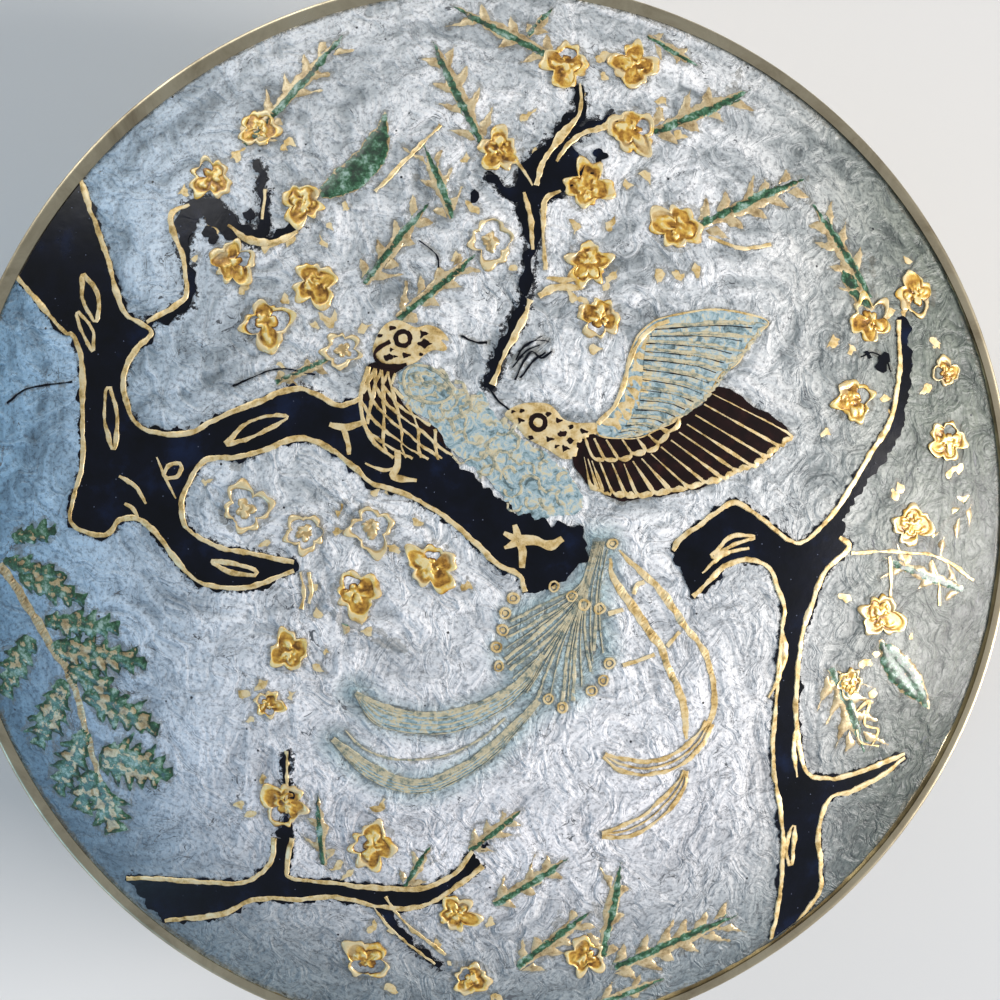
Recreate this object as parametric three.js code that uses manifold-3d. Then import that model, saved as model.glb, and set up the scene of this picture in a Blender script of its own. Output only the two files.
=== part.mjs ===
// A round brass trinket box with a domed lid that lifts off.
// The base is a shallow bowl on a foot ring. The lid carries a low relief of two birds on blossoming
// branches, cast in one with it. Lengths are in millimetres, +Z is up, and +Y is the top of the picture.
import * as THREE from 'three';
import { mergeVertices } from 'three/addons/utils/BufferGeometryUtils.js';
import Module from 'manifold-3d';

const wasm = await Module();
wasm.setup();

// Sizes of the whole box
const OUTER_R = 63.5;
const SEAT_Z = 33;

// Sizes of the lid
const SKIRT_H = 5;
const RIM_BAND = 1.7;
const RIM_ROUND = 1.2;
const DOME_RISE = 13;
const DOME_FULLNESS = 2.4;
const LID_WALL = 1.8;
const RELIEF_H = 0.5;
const RELIEF_ROOT = 0.9;

// Sizes of the base
const RIM_SETBACK = 0.7;
const BEAD_H = 2.4;
const BEAD_PROUD = 0.6;
const BASE_WALL = 2;
const FLOOR_T = 2.2;
const FOOT_R = 44;
const FOOT_W = 4.5;
const FOOT_H = 3;
const BELLY_FULLNESS = 2.3;

// The ring under the lid that keeps it centred in the base's mouth
const RING_DEPTH = 4;
const RING_T = 1.6;
const FIT_CLEARANCE = 0.5;

// How finely the round forms are faceted
const SIDES = 48;
const DOME_STEPS = 6;
const BELLY_STEPS = 5;

const LIP_Z = SEAT_Z + SKIRT_H;
const FIELD_R = OUTER_R - RIM_BAND;
const BODY_R = OUTER_R - RIM_SETBACK - BEAD_PROUD;
const MOUTH_R = BODY_R - BASE_WALL;

// Solid modelling

function toSolid(geometry) {
  geometry.deleteAttribute('normal');
  geometry.deleteAttribute('uv');
  const merged = mergeVertices(geometry, 1e-4);
  return new wasm.Manifold(new wasm.Mesh({
    numProp: 3,
    vertProperties: new Float32Array(merged.attributes.position.array),
    triVerts: new Uint32Array(merged.index.array),
  }));
}

function toGeometry(solid) {
  const mesh = solid.getMesh();
  const geometry = new THREE.BufferGeometry();
  geometry.setAttribute('position', new THREE.BufferAttribute(mesh.vertProperties, 3));
  geometry.setIndex(new THREE.BufferAttribute(mesh.triVerts, 1));
  geometry.computeVertexNormals();
  return geometry;
}

// A turned solid: its profile runs from the axis, round the outside and back to the axis
function turned(profile) {
  const points = profile.map(([r, z]) => new THREE.Vector2(r, z));
  const geometry = new THREE.LatheGeometry(points, SIDES);
  geometry.rotateX(Math.PI / 2);
  const solid = toSolid(geometry);
  if (solid.volume() > 0) return solid;
  const flipped = geometry.index.array.slice().reverse();
  geometry.setIndex(new THREE.BufferAttribute(flipped, 1));
  return toSolid(geometry);
}

// Profile of the lid's dome, above the skirt

function domeZ(r) {
  return LIP_Z + DOME_RISE * (1 - Math.pow(r / FIELD_R, DOME_FULLNESS));
}

// Points down the dome from its top to the given radius; the steps get closer towards the edge
function domeProfile(edgeR, rise) {
  const points = [];
  for (let step = 0; step <= DOME_STEPS; step += 1) {
    const r = edgeR * Math.sin((Math.PI / 2) * (step / DOME_STEPS));
    points.push([r, domeZ(r) + rise]);
  }
  return points;
}

// The relief's figures, as flat outlines. Places and widths are in percent of the field's radius.

const UNIT = FIELD_R / 100;

function outline(points) {
  return new THREE.Shape(points.map(([x, y]) => new THREE.Vector2(x * UNIT, y * UNIT)));
}

// A stroke of changing width along a smooth line through [x, y, width]
function stroke(points, steps = 2 * (points.length - 1)) {
  const line = new THREE.CatmullRomCurve3(points.map(([x, y, width]) => new THREE.Vector3(x, y, width)));
  const left = [];
  const right = [];
  for (let step = 0; step <= steps; step += 1) {
    const point = line.getPoint(step / steps);
    const along = line.getTangent(step / steps);
    const length = Math.hypot(along.x, along.y);
    const offX = (-along.y / length) * (point.z / 2);
    const offY = (along.x / length) * (point.z / 2);
    left.push([point.x + offX, point.y + offY]);
    right.push([point.x - offX, point.y - offY]);
  }
  return outline([...left, ...right.reverse()]);
}

const FEATHER_WIDEST = 0.8;
const FEATHER_ROOT = 0.7;

// A row of feathers from one root line to one tip line
function fan(rootStart, rootEnd, tipStart, tipEnd, count, width) {
  const feathers = [];
  for (let i = 0; i < count; i += 1) {
    const share = i / (count - 1);
    const root = rootStart.map((value, axis) => value + (rootEnd[axis] - value) * share);
    const tip = tipStart.map((value, axis) => value + (tipEnd[axis] - value) * share);
    const reach = root.map((value, axis) => value + (tip[axis] - value) * FEATHER_WIDEST);
    feathers.push(stroke([[...root, width * FEATHER_ROOT], [...reach, width], [...tip, width / 2]], 2));
  }
  return feathers;
}

const PETALS = 5;
const PETAL_STEPS = 2;
const PETAL_NOTCH = 0.16;

// A blossom of five round petals
function blossom(x, y, size) {
  const points = [];
  for (let i = 0; i < PETALS * PETAL_STEPS; i += 1) {
    const angle = (2 * Math.PI * i) / (PETALS * PETAL_STEPS) + x;
    const r = size * (1 - PETAL_NOTCH + PETAL_NOTCH * Math.cos(PETALS * (angle - x)));
    points.push([x + r * Math.cos(angle), y + r * Math.sin(angle)]);
  }
  return outline(points);
}

const LEAF_PITCH = 8;
const LEAF_TAPER = 0.45;
const LEAF_NOTCH = 0.3;

// A spray of small pointed leaves along a stem, from its foot to its tip
function spray(foot, tip, halfWidth) {
  const dx = tip[0] - foot[0];
  const dy = tip[1] - foot[1];
  const length = Math.hypot(dx, dy);
  const leaves = Math.max(2, Math.round(length / LEAF_PITCH));
  const at = (along, across) => [
    foot[0] + dx * along - (dy / length) * across,
    foot[1] + dy * along + (dx / length) * across,
  ];
  const side = (sign) => {
    const points = [];
    for (let i = 0; i < leaves; i += 1) {
      const taper = 1 - (LEAF_TAPER * i) / leaves;
      points.push(at((i + 0.1) / leaves, sign * halfWidth * LEAF_NOTCH));
      points.push(at((i + 0.9) / leaves, sign * halfWidth * taper));
    }
    return points;
  };
  return outline([...side(-1), at(1 + 1 / (2 * leaves), 0), ...side(1).reverse()]);
}

// The branches: a tree from the left rim, one from the right, one hanging from above, one below
function branches() {
  return [
    stroke([[-84, 56, 22], [-76, 40, 14], [-72, 28, 9], [-70, 18, 13], [-67, 8, 20], [-60, -1, 13],
      [-53, -7, 8], [-45, -8, 6], [-37, -6, 1]]),
    stroke([[-68, 10, 12], [-56, 12, 9], [-45, 18, 9], [-36, 20, 9], [-27, 18, 11], [-18, 12, 12],
      [-9, 6, 11], [1, -1, 12], [10, -4, 9], [15, -1, 5]]),
    stroke([[-66, 36, 2.5], [-57, 40, 2.5], [-57, 48, 3], [-58, 56, 6], [-49, 55, 5], [-41, 54, 3], [-34, 56, 1]]),
    stroke([[-43, 53, 2.5], [-42, 62, 1.6], [-43, 69, 1]], 2),
    stroke([[-2, 25, 2], [1, 33, 4], [6, 43, 4.5], [8, 53, 6], [9, 62, 10], [14, 69, 7], [17, 77, 2.5], [18, 82, 1]]),
    stroke([[10, 60, 5], [5, 62, 6], [0, 64, 3]], 2),
    stroke([[15, 73, 2], [19, 75, 1.6], [24, 76, 1]], 2),
    stroke([[80, 38, 1.2], [79, 27, 2.4], [75, 17, 2.4], [67, 6, 2.4], [62, -4, 5], [60, -8, 8]]),
    stroke([[36, -8, 8], [42, -4, 8], [50, -4, 8], [60, -9, 10]]),
    stroke([[61, -5, 11], [58, -16, 7.5], [56, -24, 5], [55, -34, 4.5], [56, -46, 7], [59, -54, 9.5],
      [60, -64, 8], [59, -75, 8], [57, -83, 7]]),
    stroke([[60, -54, 7], [70, -51, 3.5], [81, -46, 1]], 3),
    stroke([[-68, -73, 8], [-50, -71, 5.5], [-33, -69, 2.8], [-18, -70, 2.8], [-8, -69, 2.8], [-2, -62, 2.4], [4, -56, 1]]),
    stroke([[-40, -69, 2.4], [-39, -59, 1.6], [-39, -54, 1.2]], 2),
    stroke([[-22, -70, 1.8], [-18, -78, 1.4], [-10, -86, 0.8]], 3),
  ];
}

// The bird that sits on the left branch, looking right
function sittingBird() {
  return [
    stroke([[-18, 37, 5], [-18, 33, 9], [-20, 27, 10], [-15, 19, 17], [-6, 17, 19], [3, 10, 16], [9, 2, 10], [13, -5, 4]]),
    stroke([[-15, 34, 4], [-12, 34, 3], [-8, 33, 0.6]], 2),
    stroke([[-24, 20, 1.4], [-29, 16, 1.6], [-32, 18, 0.8]], 2),
    stroke([[-16, 11, 1.6], [-18, 7, 2], [-14, 5, 1]], 2),
  ];
}

// The bird that flies in from the right, with one wing raised and one spread
function flyingBird() {
  return [
    stroke([[4, 22, 4], [7, 20, 7], [13, 18, 9], [20, 11, 11], [20, 3, 9], [17, -6, 6], [14, -14, 8]]),
    stroke([[6, 21, 3], [3, 22, 2], [-1, 23, 0.6]], 2),
    ...fan([18, 17], [27, 33], [35, 22], [50, 38], 6, 5.2),
    ...fan([19, 14], [40, 24], [21, 5], [56, 18], 7, 5.6),
  ];
}

// The long tail that both birds' feathers run into
function tail() {
  return [
    ...fan([10, -4], [17, -4], [0, -25], [20, -33], 6, 4.4),
    stroke([[12, -22, 3], [1, -32, 3.2], [-12, -37, 2.8], [-20, -35, 2], [-27, -30, 0.8]]),
    stroke([[12, -30, 3], [1, -42, 3.4], [-14, -49, 2.8], [-23, -46, 2], [-31, -40, 0.8]]),
    stroke([[18, -6, 2], [29, -22, 2.4], [36, -37, 2], [37, -45, 1.8], [29, -47, 1.6], [20, -43, 0.8]], 8),
    stroke([[20, -4, 2], [33, -16, 2.4], [40, -31, 2.4], [39, -44, 2], [29, -55, 1.6], [19, -58, 0.8]], 8),
    stroke([[22, -25, 1], [34, -22, 1]], 1),
    stroke([[31, -31, 1], [37, -21, 1]], 1),
  ];
}

// Blossoms along the branches: [x, y, size]
const BLOSSOMS = [
  [-43, 73, 4], [-52, 64, 4], [-35, 59, 4], [-48, 48, 4.5], [-33, 44, 4.5], [-42, 37, 4.5], [1, 69, 4], [14, 86, 4.5],
  [27, 86, 4.5], [26, 73, 4.5], [17, 62, 4.7], [34, 55, 5], [17, 49, 4.5], [19, 39, 4.5], [83, 43, 4], [71, 37, 4],
  [68, 23, 4.5], [88, 28, 2.5], [88, 15, 4], [80, -1, 4], [74, -18, 4.5], [-46, 3, 5], [-35, -1, 4], [-23, 0, 4.7],
  [-12, -7, 4.7], [-26, -12, 4.5], [-38, -23, 4], [-42, -33, 2.7], [-39, -52, 4.7], [-23, -60, 4.7], [-7, -74, 4],
  [-24, -84, 4.5], [-4, -88, 4], [18, -84, 4], [-2, 52, 4], [-28, 32, 3.5],
];

// Leaf sprays: foot, tip and half the width
const SPRAYS = [
  [[-44, 71], [-28, 91], 3], [[-10, 88], [-2, 72], 3.5], [[-13, 69], [-8, 58], 2.4], [[-23, 46], [-14, 57], 2.7],
  [[-17, 40], [-5, 48], 2.7], [[-4, 96], [9, 87], 2.7], [[31, 74], [49, 82], 3], [[37, 56], [59, 65], 3],
  [[61, 56], [68, 40], 3], [[77, -8], [94, -11], 3.5], [[74, -23], [85, -36], 3], [[65, -28], [72, -44], 4],
  [[2, -73], [12, -65], 2.7], [[7, -85], [16, -73], 3], [[21, -82], [23, -66], 2.7], [[25, -84], [46, -77], 3.3],
  [[20, -94], [31, -89], 2.3], [[-91, -9], [-70, -60], 8], [[-77, -33], [-62, -46], 6], [[-83, -18], [-68, -22], 5],
];

// The broad single leaf near the top
function broadLeaf() {
  return stroke([[-30, 63, 1], [-27, 67, 7], [-22, 71, 6], [-20, 74, 1]], 5);
}

// The figures stand on the dome as one even relief: each outline is cut to a shell along the dome
function relief() {
  const figures = [
    ...branches(),
    ...sittingBird(),
    ...flyingBird(),
    ...tail(),
    broadLeaf(),
    ...BLOSSOMS.map(([x, y, size]) => blossom(x, y, size)),
    ...SPRAYS.map(([foot, tip, halfWidth]) => spray(foot, tip, halfWidth)),
  ];
  const depth = DOME_RISE + 2 * (RELIEF_H + RELIEF_ROOT) + SKIRT_H;
  const prisms = figures.map((shape) => {
    const geometry = new THREE.ExtrudeGeometry(shape, { depth, bevelEnabled: false });
    geometry.translate(0, 0, SEAT_Z);
    return toSolid(geometry);
  });
  const edgeR = FIELD_R + RIM_BAND / 3;
  const shell = turned([
    ...domeProfile(edgeR, RELIEF_H),
    ...domeProfile(edgeR, -RELIEF_ROOT).reverse(),
  ]);
  return wasm.Manifold.union(prisms).intersect(shell);
}

// The lid: a thin dome in a raised rim band, with the centring ring below it
function lid() {
  const ringR = MOUTH_R - FIT_CLEARANCE;
  const ringInnerR = ringR - RING_T;
  const bandZ = LIP_Z + RELIEF_H;
  const body = turned([
    ...domeProfile(FIELD_R, 0),
    [FIELD_R, bandZ],
    [OUTER_R - RIM_ROUND, bandZ],
    [OUTER_R - RIM_ROUND * (1 - Math.SQRT1_2), bandZ - RIM_ROUND * (1 - Math.SQRT1_2)],
    [OUTER_R, bandZ - RIM_ROUND],
    [OUTER_R, SEAT_Z],
    [ringR, SEAT_Z],
    [ringR, SEAT_Z - RING_DEPTH],
    [ringInnerR, SEAT_Z - RING_DEPTH],
    ...domeProfile(ringInnerR, -LID_WALL).reverse(),
  ]);
  return body.add(relief());
}

// The quarter curve of the base's side, from its foot up to its rim
function bellyProfile(startR, startZ, endR, endZ) {
  const power = 2 / BELLY_FULLNESS;
  const points = [];
  for (let step = 0; step <= BELLY_STEPS; step += 1) {
    const angle = (Math.PI / 2) * (step / BELLY_STEPS);
    points.push([
      startR + (endR - startR) * Math.pow(Math.sin(angle), power),
      startZ + (endZ - startZ) * (1 - Math.pow(Math.max(Math.cos(angle), 0), power)),
    ]);
  }
  return points;
}

// The base: a bowl on a foot ring, with a bead round its rim
function base() {
  const beadR = BODY_R + BEAD_PROUD;
  const beadZ = SEAT_Z - BEAD_H;
  return turned([
    [0, FOOT_H],
    [FOOT_R - FOOT_W, FOOT_H],
    [FOOT_R - FOOT_W, 0],
    [FOOT_R, 0],
    ...bellyProfile(FOOT_R, FOOT_H, BODY_R, beadZ),
    [beadR, beadZ + BEAD_PROUD],
    [beadR, SEAT_Z],
    [MOUTH_R, SEAT_Z],
    ...bellyProfile(FOOT_R, FOOT_H + FLOOR_T, MOUTH_R, SEAT_Z - RING_DEPTH - FIT_CLEARANCE).reverse(),
    [0, FOOT_H + FLOOR_T],
  ]);
}

const brass = new THREE.MeshStandardMaterial({ color: 0xb5a06a, roughness: 0.35, metalness: 1 });
const reliefBrass = new THREE.MeshStandardMaterial({ color: 0xc8b27c, roughness: 0.4, metalness: 1 });

const box = new THREE.Group();
for (const [name, solid, material] of [['base', base(), brass], ['lid', lid(), reliefBrass]]) {
  const mesh = new THREE.Mesh(toGeometry(solid), material);
  mesh.name = name;
  box.add(mesh);
}

export default box;
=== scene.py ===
import math
import random

import bpy
from mathutils import Matrix, Vector, geometry, kdtree, noise


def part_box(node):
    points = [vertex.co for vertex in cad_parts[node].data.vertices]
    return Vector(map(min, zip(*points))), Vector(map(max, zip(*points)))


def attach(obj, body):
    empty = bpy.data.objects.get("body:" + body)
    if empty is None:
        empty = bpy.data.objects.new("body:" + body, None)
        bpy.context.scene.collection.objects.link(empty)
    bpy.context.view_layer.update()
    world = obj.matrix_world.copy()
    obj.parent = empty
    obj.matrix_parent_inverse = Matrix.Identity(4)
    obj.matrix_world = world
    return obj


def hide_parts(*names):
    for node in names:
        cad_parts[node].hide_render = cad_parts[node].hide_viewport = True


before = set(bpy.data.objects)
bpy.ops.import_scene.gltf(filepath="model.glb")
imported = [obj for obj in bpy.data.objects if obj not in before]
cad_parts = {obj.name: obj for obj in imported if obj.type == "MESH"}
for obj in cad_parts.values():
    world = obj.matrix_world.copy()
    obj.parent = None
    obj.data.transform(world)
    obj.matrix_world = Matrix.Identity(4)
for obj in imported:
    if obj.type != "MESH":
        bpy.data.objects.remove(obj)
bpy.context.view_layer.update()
bpy.context.scene.view_settings.view_transform = "Standard"

# The view and its light
# The box is seen almost straight down from about 24 cm. Its main light is a large soft panel at the right.
# A cool window at the lower left mirrors in that side of the dome, and a fill panel stands at the upper left.

MM = 0.001
CAMERA_SPOT = Vector((-16.6, 15.9, 276.9)) * MM
CAMERA_AIM = Vector((1.25, 2.21, 38)) * MM
CAMERA_LENS = 72.6
PICTURE_TOP = Vector((0, 1, 0))
ROOM_LIGHT = 0.55
FLOOR_SIZE = 3.0


def linear(hexcode):
    """A colour written as sRGB hex, turned to the linear values that shaders take."""
    values = [int(hexcode[i:i + 2], 16) / 255 for i in (0, 2, 4)]
    turned = [v / 12.92 if v <= 0.04045 else ((v + 0.055) / 1.055) ** 2.4 for v in values]
    return (*turned, 1.0)


def connect(tree, made, inputs):
    """Gives a node's inputs their values or links. A node among them stands for its own first output."""
    for place, value in inputs.items():
        if isinstance(value, bpy.types.Node):
            value = value.outputs[0]
        if isinstance(value, bpy.types.NodeSocket):
            tree.links.new(value, made.inputs[place])
        else:
            made.inputs[place].default_value = value


def node(tree, kind, inputs=None, stops=None, **settings):
    """Adds a shader node with its settings, its inputs and its ramp's stops."""
    made = tree.nodes.new("ShaderNode" + kind)
    for name, value in settings.items():
        setattr(made, name, value)
    connect(tree, made, inputs or {})
    if stops:
        ramp = made.color_ramp
        while len(ramp.elements) < len(stops):
            ramp.elements.new(1.0)
        for element, (position, tone) in zip(ramp.elements, stops):
            element.position = position
            element.color = linear(tone)
    return made


def blank_material(name):
    """A new material with an empty shader and a link to its output: (material, its tree, its shader)."""
    made = bpy.data.materials.new(name)
    made.use_nodes = True
    tree = made.node_tree
    tree.nodes.clear()
    shader = node(tree, "BsdfPrincipled")
    node(tree, "OutputMaterial", {"Surface": shader})
    return made, tree, shader


def aimed(spot, aim, top):
    """The place and turn of a camera or lamp at one spot that looks at another."""
    back = (spot - aim).normalized()
    right = top.cross(back).normalized()
    up = back.cross(right)
    turn = Matrix((right, up, back)).transposed().to_4x4()
    return Matrix.Translation(spot) @ turn


camera = bpy.data.objects.new("camera", bpy.data.cameras.new("camera"))
camera.data.lens = CAMERA_LENS
camera.matrix_world = aimed(CAMERA_SPOT, CAMERA_AIM, PICTURE_TOP)
bpy.context.collection.objects.link(camera)
bpy.context.scene.camera = camera


def panel(name, spot, size, power, tone):
    """A soft light panel that faces the box."""
    lamp = bpy.data.objects.new(name, bpy.data.lights.new(name, "AREA"))
    lamp.data.shape = "RECTANGLE"
    lamp.data.size, lamp.data.size_y = size
    lamp.data.energy = power
    lamp.data.color = linear(tone)[:3]
    lamp.matrix_world = aimed(Vector(spot), CAMERA_AIM, PICTURE_TOP)
    bpy.context.collection.objects.link(lamp)


panel("window_panel", (-0.9, -0.7, 0.66), (0.5, 0.5), 3.6, "8fc6f2")
panel("key_panel", (1.2, -0.25, 0.56), (0.6, 0.6), 24.0, "fffaf8")
panel("fill_panel", (-0.6, 1.0, 0.42), (1.0, 1.0), 9.0, "fafaf9")

world = bpy.data.worlds.new("studio")
world.use_nodes = True
sky = world.node_tree.nodes["Background"]
connect(world.node_tree, sky, {"Color": linear("c6ccd4"), "Strength": ROOM_LIGHT})
bpy.context.scene.world = world

floor_mesh = bpy.data.meshes.new("floor")
corners = [Vector((x, y, 0)) * FLOOR_SIZE / 2 for x, y in ((-1, -1), (1, -1), (1, 1), (-1, 1))]
floor_mesh.from_pydata(corners, [], [(0, 1, 2, 3)])
floor = bpy.data.objects.new("floor", floor_mesh)
bpy.context.collection.objects.link(floor)
floor_paint, tree, shader = blank_material("matt painted board")
connect(tree, shader, {"Base Color": linear("e2e1de"), "Roughness": 0.6})
floor_mesh.materials.append(floor_paint)

# The base
# A shallow bowl of spun brass on a foot ring, with a rolled bead round its mouth. The inside is bare
# brass, turned smooth and gone dull. The enamel and the plain sprigs on its side follow further down.

SEAT_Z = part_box("base")[1].z / MM
OUTER_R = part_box("lid")[1].x / MM
BEAD_PROUD = 0.6
BEAD_H = 2.4
BEAD_ROUND = 0.7
BODY_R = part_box("base")[1].x / MM - BEAD_PROUD
BASE_WALL = 2.0
FLOOR_T = 2.2
FOOT_R = 44.0
FOOT_W = 4.5
FOOT_H = 3.0
FOOT_ROUND = 0.5
FLAT_BESIDE_FOOT = 1.0
BELLY_FULLNESS = 2.3
RING_DEPTH = 4.0
FIT_CLEARANCE = 0.5
MOUTH_R = BODY_R - BASE_WALL
TURN_SIDES = 192
BRUSH_MM = 0.25
TARNISH_MM = 9.0


def spun_brass():
    """Brass spun on a lathe and polished by hand: fine rings round the axis, a dull grey-brown bloom."""
    made, tree, shader = blank_material("spun brass, lightly tarnished")
    spot = node(tree, "TexCoord").outputs["Object"]
    axes = node(tree, "SeparateXYZ", {0: spot})
    flat = node(tree, "CombineXYZ", {0: axes.outputs["X"], 1: axes.outputs["Y"]})
    radius = node(tree, "VectorMath", {0: flat}, operation="LENGTH")
    rings = node(tree, "CombineXYZ", {0: radius.outputs["Value"], 2: axes.outputs["Z"]})
    brushing = node(tree, "TexNoise", {"Vector": rings, "Scale": 1 / (BRUSH_MM * MM), "Detail": 3.0})
    bloom = node(tree, "TexNoise", {"Vector": spot, "Scale": 1 / (TARNISH_MM * MM), "Detail": 6.0,
                                    "Roughness": 0.65, "Distortion": 0.6})
    tone = node(tree, "ValToRGB", {0: bloom},
                [(0.30, "897d66"), (0.45, "b4a88d"), (0.60, "cfc3a5"), (0.80, "dfd4b6")])
    dullness = node(tree, "MapRange", {0: bloom, 1: 0.3, 2: 0.75, 3: 0.46, 4: 0.27})
    bump = node(tree, "Bump", {"Height": brushing, "Strength": 0.25, "Distance": 0.02 * MM})
    connect(tree, shader, {"Base Color": tone, "Roughness": dullness,
                           "Normal": bump, "Metallic": 1.0})
    return made


def add_piece(name, verts, faces, finish, slot, smooth_angle=35, marks=None):
    """A shown piece of the box, riding on its one body; marks are named values for its finish to read."""
    mesh = bpy.data.meshes.new(name)
    mesh.from_pydata(verts, [], faces)
    mesh.validate()
    mesh.materials.append(finish)
    mesh.shade_smooth()
    mesh.set_sharp_from_angle(angle=math.radians(smooth_angle))
    for mark, values in (marks or {}).items():
        mesh.attributes.new(mark, "FLOAT", "POINT").data.foreach_set("value", values)
    piece = bpy.data.objects.new(name, mesh)
    bpy.context.collection.objects.link(piece)
    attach(piece, "root")
    return piece


def ring_faces(rings, widening=False):
    """The faces between each ring of vertices and the next, which lies above it or, if widening, round it."""
    faces = []
    for first, second in zip(rings, rings[1:]):
        for side in range(len(first)):
            nxt = (side + 1) % len(first)
            corners = [first[side], first[nxt], second[nxt], second[side]]
            if widening:
                corners = corners[:1] + corners[:0:-1]
            faces.append(list(dict.fromkeys(corners)))
    return faces


def turned(profile, sides, radius_shift=None):
    """Vertices and faces of a turned form: the profile goes from the axis round to the axis, in mm."""
    verts = []
    rings = []
    for r, z in profile:
        if r == 0:
            rings.append([len(verts)] * sides)
            verts.append(Vector((0, 0, z)) * MM)
            continue
        rings.append(list(range(len(verts), len(verts) + sides)))
        for side in range(sides):
            angle = 2 * math.pi * side / sides
            reach = r + (radius_shift(r, angle) if radius_shift else 0)
            verts.append(Vector((reach * math.cos(angle), reach * math.sin(angle), z)) * MM)
    return verts, ring_faces(rings)


def belly(start_r, start_z, end_r, end_z, steps=22):
    """The quarter curve of the bowl's side, from its foot up to its rim."""
    power = 2 / BELLY_FULLNESS
    points = []
    for step in range(steps + 1):
        angle = math.pi / 2 * step / steps
        across = math.sin(angle) ** power
        climb = 1 - max(math.cos(angle), 0) ** power
        points.append((start_r + (end_r - start_r) * across, start_z + (end_z - start_z) * climb))
    return points


def rounded(corners, radius, steps=4):
    """A profile with each of its corners (r, z, rounded or not) turned to a small arc."""
    points = []
    for i, (r, z, soft) in enumerate(corners):
        here = Vector((r, z))
        if not soft:
            points.append(tuple(here))
            continue
        before = Vector(corners[i - 1][:2])
        after = Vector(corners[(i + 1) % len(corners)][:2])
        cut = min(radius, (before - here).length / 2, (after - here).length / 2)
        start = here + (before - here).normalized() * cut
        end = here + (after - here).normalized() * cut
        for step in range(steps + 1):
            t = step / steps
            points.append(tuple(start * (1 - t) ** 2 + here * 2 * t * (1 - t) + end * t * t))
    return points


bead_r = BODY_R + BEAD_PROUD
bead_z = SEAT_Z - BEAD_H
outer_side = belly(FOOT_R, FOOT_H, BODY_R, bead_z)
inner_side = belly(FOOT_R, FOOT_H + FLOOR_T, MOUTH_R, SEAT_Z - RING_DEPTH - FIT_CLEARANCE)
base_profile = [(0, FOOT_H)]
foot_inner_r = FOOT_R - FOOT_W
base_profile += rounded([(foot_inner_r - FLAT_BESIDE_FOOT, FOOT_H, False), (foot_inner_r, FOOT_H, True),
                         (foot_inner_r, 0, True), (FOOT_R, 0, True), (FOOT_R, FOOT_H, False)], FOOT_ROUND)
base_profile += outer_side[1:]
base_profile += rounded([(bead_r, bead_z + BEAD_PROUD, True), (bead_r, SEAT_Z, True),
                         (MOUTH_R, SEAT_Z, True), (MOUTH_R, SEAT_Z - RING_DEPTH, False)], BEAD_ROUND)
base_profile += inner_side[::-1]
base_profile.append((0, FOOT_H + FLOOR_T))

brass_finish = spun_brass()
base_piece = add_piece("base_bowl", *turned(base_profile, TURN_SIDES), brass_finish, "brass")
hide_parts("base")

# The lid's brass
# A dome of sheet brass, stamped and turned, with a plain band round its edge and a centring ring below.
# The band wasn't finished true: it is wider at the upper left than at the lower right.

SKIRT_H = 5.0
RIM_BAND = 1.7
BAND_FLAT = 0.7
RIM_ROUND = 1.2
DOME_RISE = 13.0
DOME_FULLNESS = 2.4
LID_WALL = 1.8
RELIEF_H = 0.5
RING_T = 1.6
BAND_DRIFT = 0.32
BAND_WAVE = 0.07
BAND_DRIFT_ANGLE = math.radians(-45)
DOME_RINGS = 40
LIP_Z = SEAT_Z + SKIRT_H
FIELD_R = OUTER_R - RIM_BAND


def dome_z(r):
    """Height of the dome's sunk brass field above the table, in mm."""
    return LIP_Z + DOME_RISE * (1 - min(r / FIELD_R, 1.02) ** DOME_FULLNESS)


def dome_profile(edge_r, rise, rings):
    """The dome's curve from the axis out to a radius, lifted by rise, as (r, z) points."""
    return [(edge_r * step / rings, dome_z(edge_r * step / rings) + rise) for step in range(rings + 1)]


def band_drift(r, angle):
    """How far the field's edge strays from its nominal circle; nothing else on the lid strays."""
    if abs(r - FIELD_R) > 0.01:
        return 0
    wave = BAND_WAVE * math.sin(5 * angle) * math.sin(3 * angle + 1)
    return BAND_DRIFT * (1 + math.cos(angle - BAND_DRIFT_ANGLE)) + wave


ring_r = MOUTH_R - FIT_CLEARANCE
ring_inner_r = ring_r - RING_T
band_z = LIP_Z + RELIEF_H
lid_profile = dome_profile(FIELD_R, 0, DOME_RINGS)
lid_profile += [(FIELD_R, band_z)]
lid_profile += rounded([(FIELD_R + BAND_FLAT, band_z, False), (OUTER_R, band_z, True),
                        (OUTER_R, SEAT_Z, True), (ring_r, SEAT_Z, False)], RIM_ROUND, 6)
lid_profile += [(ring_r, SEAT_Z - RING_DEPTH), (ring_inner_r, SEAT_Z - RING_DEPTH)]
lid_profile += dome_profile(ring_inner_r, -LID_WALL, DOME_RINGS // 2)[::-1]
lid_piece = add_piece("lid_brass", *turned(lid_profile, TURN_SIDES, band_drift), brass_finish, "relief_brass")
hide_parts("lid")

# The picture's drawing
# All lines and cells of the picture are laid out flat, in mm from the lid's centre, and then set on
# the dome. Places in the lists are in percent of the field's radius, as a craftsman's squared-up sketch is.

UNIT = FIELD_R / 100
GROUND_TOP = 0.27
LINE_TOP = 0.43
LINE_STEP = 0.35
LINE_FOOT = 0.05
PILLOW_FOOT = GROUND_TOP + 0.01
LINE_SECTION = ((-1.0, 0.0), (-0.92, 0.8), (-0.65, 1.0), (0.65, 1.0), (0.92, 0.8), (1.0, 0.0))
SLOW_WANDER_MM = 2.2
QUICK_WANDER_MM = 0.6
lines_drawn = []
flow_lines = []


def on_lid(x, y, height):
    """A place in the flat drawing, at a height over the brass field, set on the dome."""
    r = math.hypot(x, y)
    keep = min(1.0, FIELD_R / r) if r else 1.0
    return Vector((x * keep, y * keep, dome_z(min(r, FIELD_R)) + height)) * MM


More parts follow.
